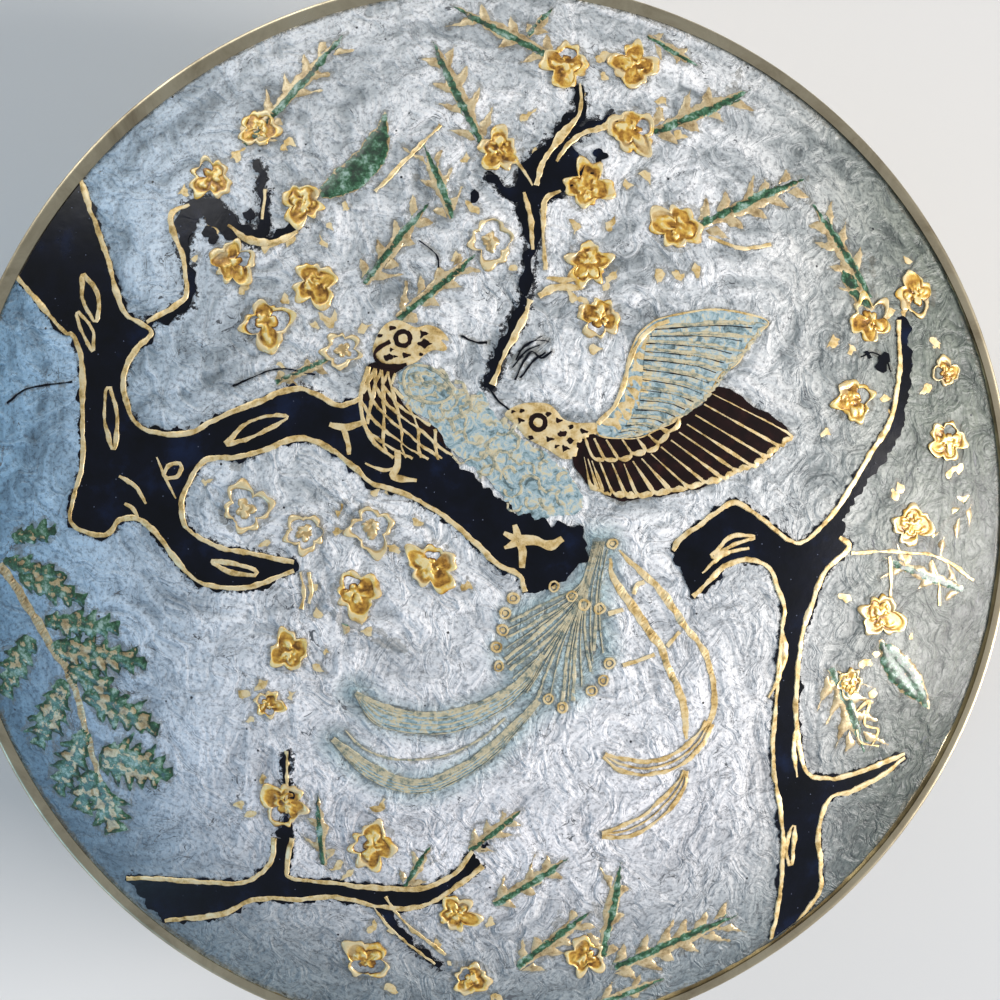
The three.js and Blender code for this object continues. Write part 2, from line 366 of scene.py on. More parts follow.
def smooth(points, step=0.6, closed=False, unit=UNIT):
    """Close points on a smooth curve through the given ones; a third value, such as a width, goes along."""
    knots = [Vector(point) * unit for point in points]
    count = len(knots)
    made = []
    for i in range(count if closed else count - 1):
        b = knots[i]
        c = knots[(i + 1) % count]
        a = knots[i - 1] if closed or i else b * 2 - c
        d = knots[(i + 2) % count] if closed or i + 2 < count else c * 2 - b
        pieces = max(1, math.ceil((c - b).xy.length / step))
        for j in range(pieces):
            t = j / pieces
            made.append((b * 2 + (c - a) * t + (a * 2 - b * 5 + c * 4 - d) * t * t
                         + (b * 3 - a - c * 3 + d) * t ** 3) / 2)
    if not closed:
        made.append(knots[-1])
    return made


def sides_of(line, reach, rough=0.0, grain_mm=1.1):
    """The points left and right of a line, each at its own reach, with ragged edges if asked."""
    left = []
    right = []
    for i, point in enumerate(line):
        along = (line[min(i + 1, len(line) - 1)] - line[max(i - 1, 0)]).xy.normalized()
        across = Vector((-along.y, along.x))
        for edge, side in ((left, 1), (right, -1)):
            stray = rough * 2 * noise.noise(Vector((point.x, point.y, 3 * side)) / grain_mm)
            edge.append(point.xy + across * side * max(0.05, reach(point) + stray))
    return left, right


def strip(points, spread=0.0, rough=0.0, step=0.5, unit=UNIT):
    """A brush stroke along (x, y, width) points, as a row of small triangles."""
    left, right = sides_of(smooth(points, step, unit=unit), lambda point: point.z / 2 + spread, rough)
    made = []
    for i in range(len(left) - 1):
        made += [[left[i], right[i], right[i + 1]], [left[i], right[i + 1], left[i + 1]]]
    return made


def stroke(points, step=0.5, unit=UNIT):
    """The outline of a brush stroke along (x, y, width) points."""
    left, right = sides_of(smooth(points, step, unit=unit), lambda point: point.z / 2)
    return left + right[::-1]


def circle(x, y, size, sides=14, unit=UNIT):
    """A round outline."""
    return [Vector((x + size * math.cos(2 * math.pi * k / sides),
                    y + size * math.sin(2 * math.pi * k / sides))) * unit for k in range(sides)]


def evened(line, step=LINE_STEP, closed=True):
    """The same line with points at even steps."""
    ring = line + line[:1] if closed else line
    made = []
    carry = 0.0
    for a, b in zip(ring, ring[1:]):
        span = (b - a).length
        while carry < span:
            made.append(a.lerp(b, carry / span))
            carry += step
        carry -= span
    return made


def turning(outline):
    """Twice the area that an outline goes round, above 0 where it turns left."""
    return sum(a.x * b.y - b.x * a.y for a, b in zip(outline, outline[1:] + outline[:1]))


def ragged(outline, amount, grain_mm=1.2, step=0.35, spread=0.0):
    """The same outline, wider by spread, with its edge ragged by amount mm."""
    outward = 1 if turning(outline) > 0 else -1
    line = evened(outline, step)
    made = []
    for i, point in enumerate(line):
        along = (line[(i + 1) % len(line)] - line[i - 1]).normalized()
        rough = noise.noise(Vector((point.x, point.y, 5)) / grain_mm)
        rough += 0.5 * noise.noise(Vector((point.x, point.y, 2)) / grain_mm * 3)
        made.append(point + Vector((along.y, -along.x)) * outward * (spread + amount * rough * 1.6))
    return made


def merged_area(outlines, inner_step=2.5):
    """The joined area of flat outlines: its points, triangles, and directed edges along its border."""
    verts = []
    faces = []
    for outline in outlines:
        lowest = min(range(len(outline)), key=lambda i: outline[i].y)
        ring = outline[lowest:] + outline[:lowest]
        faces.append(list(range(len(verts), len(verts) + len(ring))))
        verts += ring if turning(ring) > 0 else ring[::-1]
    low = Vector((min(v.x for v in verts), min(v.y for v in verts)))
    high = Vector((max(v.x for v in verts), max(v.y for v in verts)))
    for i in range(1, int((high.x - low.x) / inner_step)):
        for j in range(1, int((high.y - low.y) / inner_step)):
            verts.append(low + Vector((i, j)) * inner_step)
    points, _, triangles, _, _, sources = geometry.delaunay_2d_cdt(verts, [], faces, 1, 1e-4)
    inside = [tuple(t) for t, source in zip(triangles, sources) if source]
    directed = {edge for a, b, c in inside for edge in ((a, b), (b, c), (c, a))}
    border = [(a, b) for a, b in directed if (b, a) not in directed]
    return points, inside, border


def nearness(points):
    """A tree of places, to ask how far the nearest one is."""
    tree = kdtree.KDTree(len(points))
    for i, point in enumerate(points):
        tree.insert((point[0], point[1], 0), i)
    tree.balance()
    return tree


def lay_area(shell, area, surface, top, foot=LINE_FOOT):
    """A closed slab over an area, such as one field of enamel; top gives its height at a place."""
    points, triangles, border = area
    verts, faces = shell
    used = sorted({i for t in triangles for i in t})
    upper = {i: len(verts) + k for k, i in enumerate(used)}
    verts += [surface(*points[i], top(*points[i])) for i in used]
    lower = {i: len(verts) + k for k, i in enumerate(used)}
    verts += [surface(*points[i], foot) for i in used]
    for a, b, c in triangles:
        faces.append((upper[a], upper[b], upper[c]))
        faces.append((lower[c], lower[b], lower[a]))
    for a, b in border:
        faces.append((upper[b], upper[a], lower[a], lower[b]))
    return used


def lay_cell(shell, outlines, surface, top, inner_step=2.5):
    """A flat field of enamel between lines."""
    lay_area(shell, merged_area(outlines, inner_step), surface, lambda x, y: top)


def lay_pillow(shell, outlines, surface, top, round_mm=0.35, rough=0.25, rough_mm=0.8, inner_step=0.5,
               extra=None):
    """A raised field, rounded at its edge and rough on top. Returns rows of x, y and share of its height."""
    area = merged_area(outlines, inner_step)
    points, _, border = area
    rim = nearness([points[a].lerp(points[b], k / 3) for a, b in border for k in range(3)])

    def height(x, y):
        """Height over the brass at a place."""
        rise = 1 - math.exp(-rim.find((x, y, 0))[2] / round_mm)
        rise *= 1 - rough * (0.5 + noise.noise(Vector((x, y, 2)) / rough_mm))
        if extra:
            rise *= extra(x, y)
        return PILLOW_FOOT + (top - PILLOW_FOOT) * max(0.0, min(1.0, rise))

    used = lay_area(shell, area, surface, height)
    rises = [(height(*points[i]) - PILLOW_FOOT) / (top - PILLOW_FOOT) for i in used]
    return [(points[i].x, points[i].y, rise) for i, rise in zip(used, rises)]


def lay_ridge(shell, path, surface, width, top=LINE_TOP, closed=False, wander=0.45):
    """One raised line, ground flat on top. Each of its edges strays by itself, as hand work does."""
    verts, faces = shell
    count = len(path)
    sides = len(LINE_SECTION)
    rings = [[len(verts) + i * sides + k for k in range(sides)] for i in range(count)]
    for i, point in enumerate(path):
        ahead = path[(i + 1) % count] if closed else path[min(i + 1, count - 1)]
        behind = path[i - 1] if closed or i else path[0]
        along = (ahead - behind).xy.normalized()
        across = Vector((-along.y, along.x))
        half = (point.z if len(point) == 3 else width) / 2
        edges = {}
        for side in (1, -1):
            spot = Vector((point.x, point.y, 4 * side + width))
            stray = 1.5 * noise.noise(spot / SLOW_WANDER_MM) + noise.noise(spot / QUICK_WANDER_MM)
            edges[side] = half * max(0.25, 1 + wander * stray)
        for side, lift in LINE_SECTION:
            place = point.xy + across * side * edges[1 if side > 0 else -1]
            verts.append(surface(place.x, place.y, LINE_FOOT + (top - LINE_FOOT) * lift))
    faces.extend(ring_faces(rings + rings[:1] if closed else rings))
    if not closed:
        faces.append(rings[0][::-1])
        faces.append(rings[-1])
    if surface is on_lid:
        lines_drawn.extend(path)


def raised_brass():
    """The picture's raised lines: brass ground level with the enamel and buffed, pale gold, a bit pitted."""
    made, tree, shader = blank_material("ground and buffed brass lines")
    spot = node(tree, "TexCoord").outputs["Object"]
    wear = node(tree, "TexNoise", {"Vector": spot, "Scale": 1 / (1.6 * MM), "Detail": 6.0, "Roughness": 0.7})
    tone = node(tree, "ValToRGB", {0: wear},
                [(0.32, "94753f"), (0.42, "cdad6d"), (0.50, "e8cd96"), (0.60, "f3e0b4"), (0.72, "e0c187")])
    pits = node(tree, "TexNoise", {"Vector": spot, "Scale": 1 / (0.3 * MM), "Detail": 2.0})
    bump = node(tree, "Bump", {"Height": pits, "Strength": 0.35, "Distance": 0.05 * MM})
    connect(tree, shader, {"Base Color": tone, "Normal": bump, "Metallic": 0.3,
                           "Roughness": 0.42})
    return made


line_finish = raised_brass()

# The branches
# Gnarled branches in blue-black enamel, one opaque glossy firing, held between raised brass lines.
# The enamel ran over the lines on most of them, so it ends in a ragged edge outside.

# Each area goes round by its edges; those marked True carry a brass line
BRANCH_AREAS = [
    [
        ([(-89, 46), (-80, 36), (-78, 35), (-76, 30), (-76, 21), (-76, 11), (-78, 4), (-78, 0),
          (-72, -2), (-69, 1), (-65, 1), (-61, -3), (-56, -9), (-52, -11), (-45, -11), (-37, -8)], True),
        ([(-37, -6.5), (-45, -5), (-50, -4), (-56, -1), (-57.5, 4), (-56, 8), (-53, 12), (-45, 13),
          (-40, 15), (-35, 16), (-30, 14), (-26, 11), (-23, 8), (-17, 6), (-10, 2), (-4, -3), (0, -7),
          (4, -9), (5, -12)], True),
        ([(12, -9), (15.5, -6), (15, -1), (6, 1), (-2, 6), (-12, 16)], False),
        ([(-25, 23), (-29, 22), (-33, 24), (-37, 25), (-45, 22), (-50, 20), (-56, 17), (-62, 17),
          (-66, 19), (-68, 24), (-68, 28), (-66, 32), (-63, 35), (-65, 37), (-68, 39), (-70, 44),
          (-72, 51), (-77, 64)], True),
        ([(-84, 55)], False),
    ],
    [
        ([(32.4, -4.7), (33.9, -2.7), (37.3, -0.3), (40.6, 2.2), (43.8, 4), (46.7, 2.9), (49.3, 1),
          (52.3, -1.3), (56.7, -3.9), (60.7, -1.5), (65.9, 4.6), (70.9, 12.1), (75.6, 19),
          (77.5, 26.6), (77.9, 32.4), (77.9, 38.1)], True),
        ([(79.4, 38.1), (79.6, 32.4), (79.2, 24.7), (77.8, 17.7), (75.1, 13.3), (69.4, 6.4),
          (65.3, 0.3)], False),
        ([(65, -2.9), (66.9, -4.9), (62, -9.7), (59.5, -16.1), (57.7, -22.3), (57.2, -35.3),
          (59.4, -47.3), (64.6, -49.7), (71.6, -48.8), (80.8, -46.1)], True),
        ([(80.9, -46.8), (76, -50.2), (69.7, -52.8), (65.1, -54), (63.5, -60.6), (64.7, -69.2),
          (64.7, -73.6), (61.5, -79), (58.5, -83)], True),
        ([(55.5, -83.2), (56.2, -75.9), (56.4, -68.4), (55.9, -59.9), (54.2, -51.6), (52.9, -43.5),
          (53.1, -33.7), (53.7, -22.1), (54.1, -16.4), (52.8, -12.1), (50.8, -8.2), (47.4, -6.8),
          (45.5, -6.8), (42.2, -7.9), (39.3, -10.6), (36.3, -13.3)], True),
    ],
    [
        ([(-69.7, -68.4), (-61.3, -68.1), (-48.4, -68.3), (-44, -66.2), (-41.7, -62.9),
          (-41.1, -58.8)], True),
        ([(-37.9, -58.7), (-38.9, -64.9), (-37.8, -66.9), (-29, -67.9), (-20.1, -68.7), (-14, -68.7),
          (-10.2, -67.3), (-7, -65.3), (-4.3, -61.2)], True),
        ([(-2.2, -64.3), (-7.7, -68.7), (-13.9, -72.5), (-22, -72.4), (-29.5, -70.6), (-37.1, -71.2),
          (-42.2, -71.2), (-46.6, -72), (-51.9, -75), (-62.6, -76.9)], True),
    ],
]
# Black strokes of the finer branches
INK_STROKES = [
    [(5.1, 41.9, 2.0), (6.7, 52.2, 2.5), (6.5, 58.7, 5.1), (8.4, 63.4, 9.0), (12.2, 66.3, 8.6),
     (15.3, 68.8, 4.3)],
    [(8.5, 65.3, 4.7), (12.4, 71.5, 3.5), (16, 76.5, 2.3), (15.8, 81.6, 1.6)],
    [(12.4, 71.1, 2.3), (18.1, 73.5, 2.0), (22.8, 75.9, 1.0)],
    [(7.4, 59.7, 2.7), (1.9, 61.5, 1.6), (-1.7, 64.1, 0.8)],
    [(5.1, 41.9, 2.0), (2.8, 35.7, 2.7), (0.6, 31.7, 2.3), (-1.7, 25.1, 1.6)],
    [(-64.3, 36.7, 1.8), (-58.7, 39.1, 1.8), (-56.1, 41.3, 1.8), (-56.3, 46.8, 1.8),
     (-57.1, 52.4, 2.3), (-56.4, 57.1, 4.3), (-53.3, 58.5, 4.3), (-50.1, 56, 3.9), (-45.8, 53.2, 3.1),
     (-41.6, 52.4, 2.0), (-35.7, 54.8, 0.6)],
    [(-42.3, 53, 2.0), (-42.3, 59.7, 1.6), (-42.7, 64.4, 1.4), (-43.7, 67.2, 0.6)],
    [(-42.7, 58.8, 1.0), (-41.2, 61.5, 0.6)],
    [(-39.4, -58.8, 2.0), (-39, -56.4, 1.6), (-38.5, -51.4, 1.6), (-38.6, -43.6, 1.4),
     (-38, -41.7, 0.6)],
    [(-21.8, -71.4, 1.6), (-18, -77.7, 1.2), (-10, -85.5, 0.6)],
]
# Brass lines within them
TWIG_LINES = [
    [(7.7, 62.3, 1.0), (8.5, 65.3, 1.1), (10.8, 69.5, 1.3), (14, 73.4, 1.2), (15.9, 75.8, 0.9),
     (16.6, 78.9, 0.5), (16.4, 82, 0.4)],
    [(11.5, 66.9, 0.5), (13.8, 70.3, 1.0), (16.9, 72.3, 1.0), (20.4, 73.5, 1.2), (22, 75.3, 0.6)],
    [(5.2, 61, 0.9), (6.4, 55.9, 1.2), (6.7, 50.4, 0.6)],
    [(12.1, 61.4, 0.5), (9.4, 59.7, 1.2), (8.7, 56, 0.9), (8.7, 52.3, 0.5), (9, 46.7, 1.2)],
    [(3.9, 67.2, 0.6), (5.5, 64.9, 0.7), (6.9, 62.3, 0.5)],
    [(9.2, 45.2, 0.6), (11.8, 44.9, 1.0), (15.1, 45.1, 0.5)],
    [(15.1, 43.4, 1.2), (10.3, 43.4, 1.4), (7.7, 41.9, 1.2)],
    [(6.2, 41.2, 1.4), (4.3, 36.6, 1.4), (1.5, 31.7, 1.0), (-0.9, 25.7, 1.0)],
    [(-63.9, 37.3, 0.8), (-58.5, 40.2, 1.0), (-56.5, 42.4, 1.0), (-57.1, 48.3, 1.0),
     (-58.6, 52.4, 1.0), (-59.4, 57.1, 1.0), (-56.1, 58.9, 0.6)],
    [(-49, 54.9, 0.6), (-44.9, 52.3, 1.2), (-40.3, 51.8, 1.2), (-36.1, 53.7, 0.8)],
    [(-42.7, 56, 0.6), (-42, 61.6, 0.6)],
]
# Spots where the black ran: x, y and size
BLOTS = [
    (-52, 53, 1.4), (-45, 56, 1.2), (74, 30, 1.4), (71, 31.5, 0.8), (-78, 4, 1), (-2, -60, 1.2),
    (-4, 60, 0.8), (19.5, 68, 1.5), (18, 64, 1),
]
BRANCH_LINE = 0.62
INK_SPREAD = 0.32
INK_TOP = GROUND_TOP + 0.08
INK_RAGGED = 0.42
INK_GRAIN_MM = 1.1
KNOT_LINE = 0.5
STALK_LINE = 0.42
STALK_TOP = LINE_TOP - 0.06
HAIR_LINE = 0.2
HAIR_TOP = GROUND_TOP + 0.06
# Knots in the bark, each a ring along its length
KNOTS = [
    [(-76, 46, 0.6), (-74.5, 42, 3), (-73.5, 37.5, 0.6)],
    [(-77, 39, 0.6), (-75, 35.5, 1.8), (-74, 32, 0.6)],
    [(-71, 25, 0.6), (-70.5, 20, 2.4), (-70, 14, 0.6)],
    [(-60.5, 9, 1), (-59, 10, 2.4), (-57.5, 11, 1)],
    [(-49, 15, 0.6), (-44, 18, 2.8), (-38, 20, 0.6)],
    [(-52, -6.5, 0.6), (-48.5, -7.5, 1.8), (-44, -8.5, 0.6)],
    [(40, -6, 0.6), (44, -3, 1.6), (48, -2.5, 0.6)],
    [(58, -59, 0.6), (57.6, -63, 1.6), (58, -67, 0.6)],
]
CRACKS = [
    [(53.5, -19, 0.5), (54.5, -24, 1.2), (53, -30, 1), (51.5, -33, 0.4)],
    [(38, -9, 0.4), (42, -5.5, 0.9), (47, -4.5, 0.5)],
    [(57.5, -38, 0.5), (57, -43, 1.1), (58, -49, 0.5)],
    [(-69, 9, 0.5), (-66, 7, 1), (-64, 4, 0.5)],
    [(-68, 4, 0.5), (-66.5, 3, 0.9), (-65.5, 1.5, 0.4)],
    [(-62, 12.5, 0.4), (-60.5, 9, 0.6), (-58.5, 5, 0.3)],
]

# Stalks of bare brass that join blossoms and sprays to the branches
STALKS = [
    [(67.5, -6), (73.8, -5.9), (82.5, -6.6), (88.8, -8.6), (94.4, -12.4)],
    [(75.5, -6.9), (76, -10.6), (76, -15)],
    [(84.7, -8), (86.4, -12), (86.8, -16.9)],
    [(-22, 61.1), (-14, 69.3), (-9.9, 73.7)],
    [(68.7, -37.5), (72.4, -34.8), (71.5, -39.2), (74.6, -40.6), (73.5, -43.6)],
    [(70, -40), (71, -43), (75, -44)],
    [(39.8, 53), (46.1, 51.3), (52.1, 52.1)],
    [(-35.9, -8.3), (-35.2, -12), (-35.8, -15)],
    [(-34.4, -8.3), (-33.9, -12), (-34.4, -14)],
    [(-38.7, -53.8), (-38.7, -46.5), (-38.4, -41.7)],
    [(-20.5, -70.4), (-17, -75.6), (-9, -82.8)],
    [(-22.8, -72.4), (-19, -77.6), (-11, -84.8)],
]
# Cracks and hairs of black in the grey ground
HAIRLINES = [
    [(-90.6, 22.3), (-86.2, 25.1), (-77.9, 26.2)],
    [(-6.5, 34.6), (-4, 33.5), (-1.8, 33.3)],
    [(7.9, 33), (5.2, 31.7), (2.8, 28.8)],
    [(8.8, 31.7), (6.4, 29.9), (4.2, 27)],
    [(8.3, 34.6), (6.1, 33.3), (3.9, 31.7)],
    [(9.5, 33.6), (7.2, 33.8), (5, 32.8), (3.4, 30.2)],
    [(10, 31.8), (8, 30.6), (6.4, 31.8), (4.6, 29.6), (3.2, 26.6)],
    [(-88, 52), (-86, 49), (-82, 47)],
    [(-48, 25.5), (-40, 28.5), (-33, 27.5)],
    [(-14, 52), (-11, 49.5), (-10.5, 47)],
    [(69.7, 31), (72.3, 31.9), (75, 30.4), (76, 28.2)],
    [(0.5, 63.4), (-0.8, 64.9), (-1.9, 64.5)],
    [(-2, 26), (0, 23), (3, 20.5)],
]


def black_enamel():
    """Opaque blue-black enamel, fired glossy: nearly flat, with a few dust specks and faint blue cloud."""
    made, tree, shader = blank_material("blue-black fired enamel")
    spot = node(tree, "TexCoord").outputs["Object"]
    cloud = node(tree, "TexNoise", {"Vector": spot, "Scale": 1 / (5 * MM), "Detail": 5.0, "Roughness": 0.6})
    tone = node(tree, "ValToRGB", {0: cloud}, [(0.35, "02040a"), (0.55, "060a17"), (0.75, "101c36")])
    dust = node(tree, "TexVoronoi", {"Vector": spot, "Scale": 1 / (1.1 * MM)})
    speck = node(tree, "ValToRGB", {0: dust.outputs["Distance"]}, [(0.05, "ffffff"), (0.08, "000000")])
    mixed = node(tree, "Mix", {0: speck, 6: tone, 7: linear("5b6173")}, data_type="RGBA")
    waves = node(tree, "TexNoise", {"Vector": spot, "Scale": 1 / (1.5 * MM), "Detail": 2.0})
    bump = node(tree, "Bump", {"Height": waves, "Strength": 0.2, "Distance": 0.08 * MM})
    connect(tree, shader, {"Base Color": mixed.outputs[2], "Normal": bump, "Roughness": 0.2,
                           "Specular IOR Level": 0.3})
    return made


branch_lines = ([], [])
branch_ink = ([], [])
ink_border = []
for edges in BRANCH_AREAS:
    round_it = []
    for points, lined in edges:
        line = smooth(points, LINE_STEP)
        flow_lines.extend(line)
        round_it += line
        if lined:
            lay_ridge(branch_lines, line, on_lid, BRANCH_LINE)
            ink_border.extend(line)
    bled = ragged(round_it, INK_RAGGED, INK_GRAIN_MM, step=0.25, spread=INK_SPREAD)
    lay_cell(branch_ink, [bled], on_lid, INK_TOP)
inked = [triangle for points in INK_STROKES for triangle in strip(points, rough=0.4, step=0.35)]
inked += [ragged(circle(x, y, size, sides=20), 0.6, grain_mm=0.9) for x, y, size in BLOTS]
lay_cell(branch_ink, inked, on_lid, INK_TOP)
for points in INK_STROKES:
    ink_border.extend(stroke(points))
    flow_lines.extend(stroke(points))
for line in TWIG_LINES + CRACKS:
    lay_ridge(branch_lines, smooth(line, LINE_STEP), on_lid, KNOT_LINE, wander=0.5)
for line in STALKS:
    lay_ridge(branch_lines, smooth(line, LINE_STEP), on_lid, STALK_LINE, STALK_TOP, wander=0.9)
for line in HAIRLINES:
    lay_ridge(branch_ink, smooth(line, 0.3), on_lid, HAIR_LINE, HAIR_TOP, wander=1.0)
for knot in KNOTS:
    lay_ridge(branch_lines, evened(stroke(knot)), on_lid, KNOT_LINE, closed=True, wander=0.6)
ink_finish = black_enamel()
add_piece("branch_enamel", *branch_ink, ink_finish, "relief_brass")

# The blossoms
# Round-petalled blossoms, raised in the brass. Amber enamel fills their hearts and some of their petals;
# the grey ground ran into the others. A few have hardly any amber. Small buds lie round them.

BLOSSOMS = [
    (-43, 73, 4), (-52, 64, 4), (-35, 59, 4.3), (-48, 48, 4.3), (-33, 44, 4.3), (-42, 37, 4.5),
    (1, 69, 4.2), (14, 86, 4.5), (27, 86, 4.5), (26, 73, 4.7), (17, 62, 4.7), (34, 55, 5), (17, 48, 4.3),
    (19, 38, 4.2), (82, 43, 4.3), (72, 38, 4.5), (68, 23, 4.5), (88, 28, 3), (88, 15, 4.2), (80, -1, 4.2),
    (74, -18, 4.7), (-12, -7, 4.5), (-26, -12, 4.4), (-38, -23, 4), (-42, -33, 2.7), (-39, -52, 4.5),
    (-23, -60, 4.7), (-7, -74, 4), (-24, -84, 4.5), (-4, -88, 4), (18, -84, 4.2), (68, -31, 3),
]
BARE_BLOSSOMS = [(-46, 3, 4.6), (-35, -1, 3.8), (-23, 0, 4.4), (-1, 52, 4.4), (-28, 32, 3.6)]
BLOSSOM_RINGS = 16
BLOSSOM_SIDES = 64
# The share of its size where a blossom's edge counts as a line for the ground round it
BLOSSOM_EDGE = 0.9
FULL_AMBER = 1.0
HARDLY_AMBER = 0.15
BUDS_EACH = 3
BUD_TOP = LINE_TOP - 0.06
# A bud whose tip lies further out, in percent of the field, is left off
BUD_LIMIT = 95


def amber_enamel():
    """Amber enamel over brass: pale gold on the rims, gold to brown by depth in the heart, part painted
    highlight and shade, grey in open petals.
    """
    made, tree, shader = blank_material("amber enamel over brass")
    depth = node(tree, "Attribute", attribute_name="hollow").outputs["Fac"]
    filled = node(tree, "Attribute", attribute_name="amber").outputs["Fac"]
    spot = node(tree, "TexCoord").outputs["Object"]
    grain = node(tree, "TexNoise", {"Vector": spot, "Scale": 1 / (0.7 * MM), "Detail": 4.0,
                                    "Roughness": 0.65})
    level = node(tree, "Math", {0: grain, 1: 0.7, 2: -0.35}, operation="MULTIPLY_ADD")
    low = node(tree, "Math", {0: depth, 1: level}, operation="ADD")
    # Gold to brown by depth: partly the amber lying thicker in the hollows, partly painted highlight on the
    # high lumps and painted shade in the pits
    amber = node(tree, "ValToRGB", {0: low},
                 [(0.0, "f4e0a4"), (0.1, "ecc661"), (0.2, "e0b04c"), (0.32, "b98532"), (0.46, "6b4614")])
    bare = node(tree, "ValToRGB", {0: low},
                [(0.05, "ead6a6"), (0.2, "d9bb82"), (0.35, "bd9f6b"), (0.6, "a5a08c"), (0.85, "b4b9bd")])
    share = node(tree, "Math", {0: filled, 1: level}, operation="ADD")
    sharp = node(tree, "MapRange", {0: share, 1: 0.38, 2: 0.62})
    mixed = node(tree, "Mix", {0: sharp, 6: bare, 7: amber}, data_type="RGBA")
    bump = node(tree, "Bump", {"Height": grain, "Strength": 0.4, "Distance": 0.1 * MM})
    connect(tree, shader, {"Base Color": mixed.outputs[2], "Normal": bump, "Metallic": 0.25,
                           "Roughness": 0.3, "Coat Weight": 0.3, "Coat Roughness": 0.2})
    return made


def petal_reach(angle, turn, petals):
    """How far a blossom reaches, as a share of its size, at an angle: round uneven petals."""
    phase = petals * (angle - turn) / 2
    petal = math.floor(phase / math.pi + 0.5) % petals
    uneven = noise.noise(Vector((petal * 1.7, turn, 0.5)))
    arch = abs(math.cos(phase)) ** 0.7
    return (0.66 + 0.34 * arch) * (1 + 0.4 * uneven * arch)


def petal_height(share, angle, turn, petals, amber):
    """Height of a blossom's relief, 0 to 1, from its centre (share 0) to its edge (share 1)."""
    petal = math.floor(petals * (angle - turn) / 2 / math.pi + 0.5) % petals
    open_petal = noise.noise(Vector((petal * 2.3, turn, 7))) < -0.22 or amber < 0.5
    rim = math.exp(-((share - 0.88) / 0.13) ** 4)
    lump = noise.noise(Vector((share * math.cos(angle) * 3.4, share * math.sin(angle) * 3.4, turn)))
    vein = noise.noise(Vector((share * math.cos(angle) * 7, share * math.sin(angle) * 7, turn + 9)))
    heart = math.exp(-(share / (0.45 if open_petal else 0.75)) ** 6) * (0.8 + 0.7 * lump + 0.5 * vein)
    return max(rim, heart, 0.2 if open_petal and share > 0.35 else 0.66)


def lay_blossom(shell, marks, x, y, size, petals, amber, surface, unit=UNIT):
    """One blossom as a round relief patch. Its marks say how hollow and how amber it is at each vertex."""
    verts, faces = shell
    turn = x * 1.7 + y
    rings = []
    for ring in range(BLOSSOM_RINGS + 2):
        share = min(ring / BLOSSOM_RINGS, 1.0)
        loop = []
        for side in range(BLOSSOM_SIDES):
            angle = 2 * math.pi * side / BLOSSOM_SIDES
            spread = Vector((math.cos(angle), math.sin(angle), 0)) * share
            rough = noise.noise(spread * 2.2 + Vector((x, y, 1)))
            reach = size * petal_reach(angle, turn, petals) * (1 + 0.4 * rough * share) * share
            height = max(0.0, min(1.0, petal_height(share, angle, turn, petals, amber) + 0.2 * rough))
            if ring > BLOSSOM_RINGS:
                height = 0.0
            loop.append(len(verts))
            patch = noise.noise(spread * 1.3 + Vector((y, x, 4)))
            marks["hollow"].append(1 - height)
            marks["amber"].append(amber * (1.62 - 1.25 * share + 0.8 * patch))
            verts.append(surface((x + reach * math.cos(angle)) * unit, (y + reach * math.sin(angle)) * unit,
                                 LINE_FOOT + (RELIEF_H - LINE_FOOT) * height))
        rings.append(loop)
    faces.extend(ring_faces(rings, widening=True))
    faces.append(rings[-1][::-1])


blossoms = ([], [])
blossom_marks = {"hollow": [], "amber": []}
buds = ([], [])
bud_draw = random.Random(5)
for i, (x, y, size) in enumerate(BLOSSOMS + BARE_BLOSSOMS):
    amber = FULL_AMBER if i < len(BLOSSOMS) else HARDLY_AMBER
    petals = 5 if i % 3 == 0 else 4
    lay_blossom(blossoms, blossom_marks, x, y, size, petals, amber, on_lid)
    lines_drawn.extend(circle(x, y, size * BLOSSOM_EDGE, sides=30))
    for _ in range(BUDS_EACH):
        angle = bud_draw.uniform(0, 2 * math.pi)
        away = size * bud_draw.uniform(1.2, 1.7)
        length = bud_draw.uniform(1.6, 3.4)
        heading = Vector((math.cos(angle), math.sin(angle)))
        foot = Vector((x, y)) + heading * away
        tip = foot + Vector((math.cos(angle + bud_draw.uniform(-0.9, 0.9)), math.sin(angle))) * length
        side = Vector((-heading.y, heading.x)) * bud_draw.uniform(0.7, 1.3)
        corners = (foot, foot.lerp(tip, 0.3) + side, tip, foot.lerp(tip, 0.2) - side)
        outline = ragged([corner * UNIT for corner in corners], 0.25, grain_mm=0.7)
        if tip.length < BUD_LIMIT:
            lay_pillow(buds, [outline], on_lid, BUD_TOP)
            lines_drawn.extend(outline)
amber_finish = amber_enamel()
add_piece("blossoms", *blossoms, amber_finish, "relief_brass", smooth_angle=60, marks=blossom_marks)
add_piece("branch_lines", *branch_lines, line_finish, "relief_brass")
add_piece("buds", *buds, line_finish, "relief_brass", smooth_angle=60)

# The leaves
# Sprays of narrow pointed leaves: a long brass spear with a green line along it and small brass teeth in
# pairs at its sides. The large frond at the left has broad toothed leaflets, mostly green, on a pale stem.

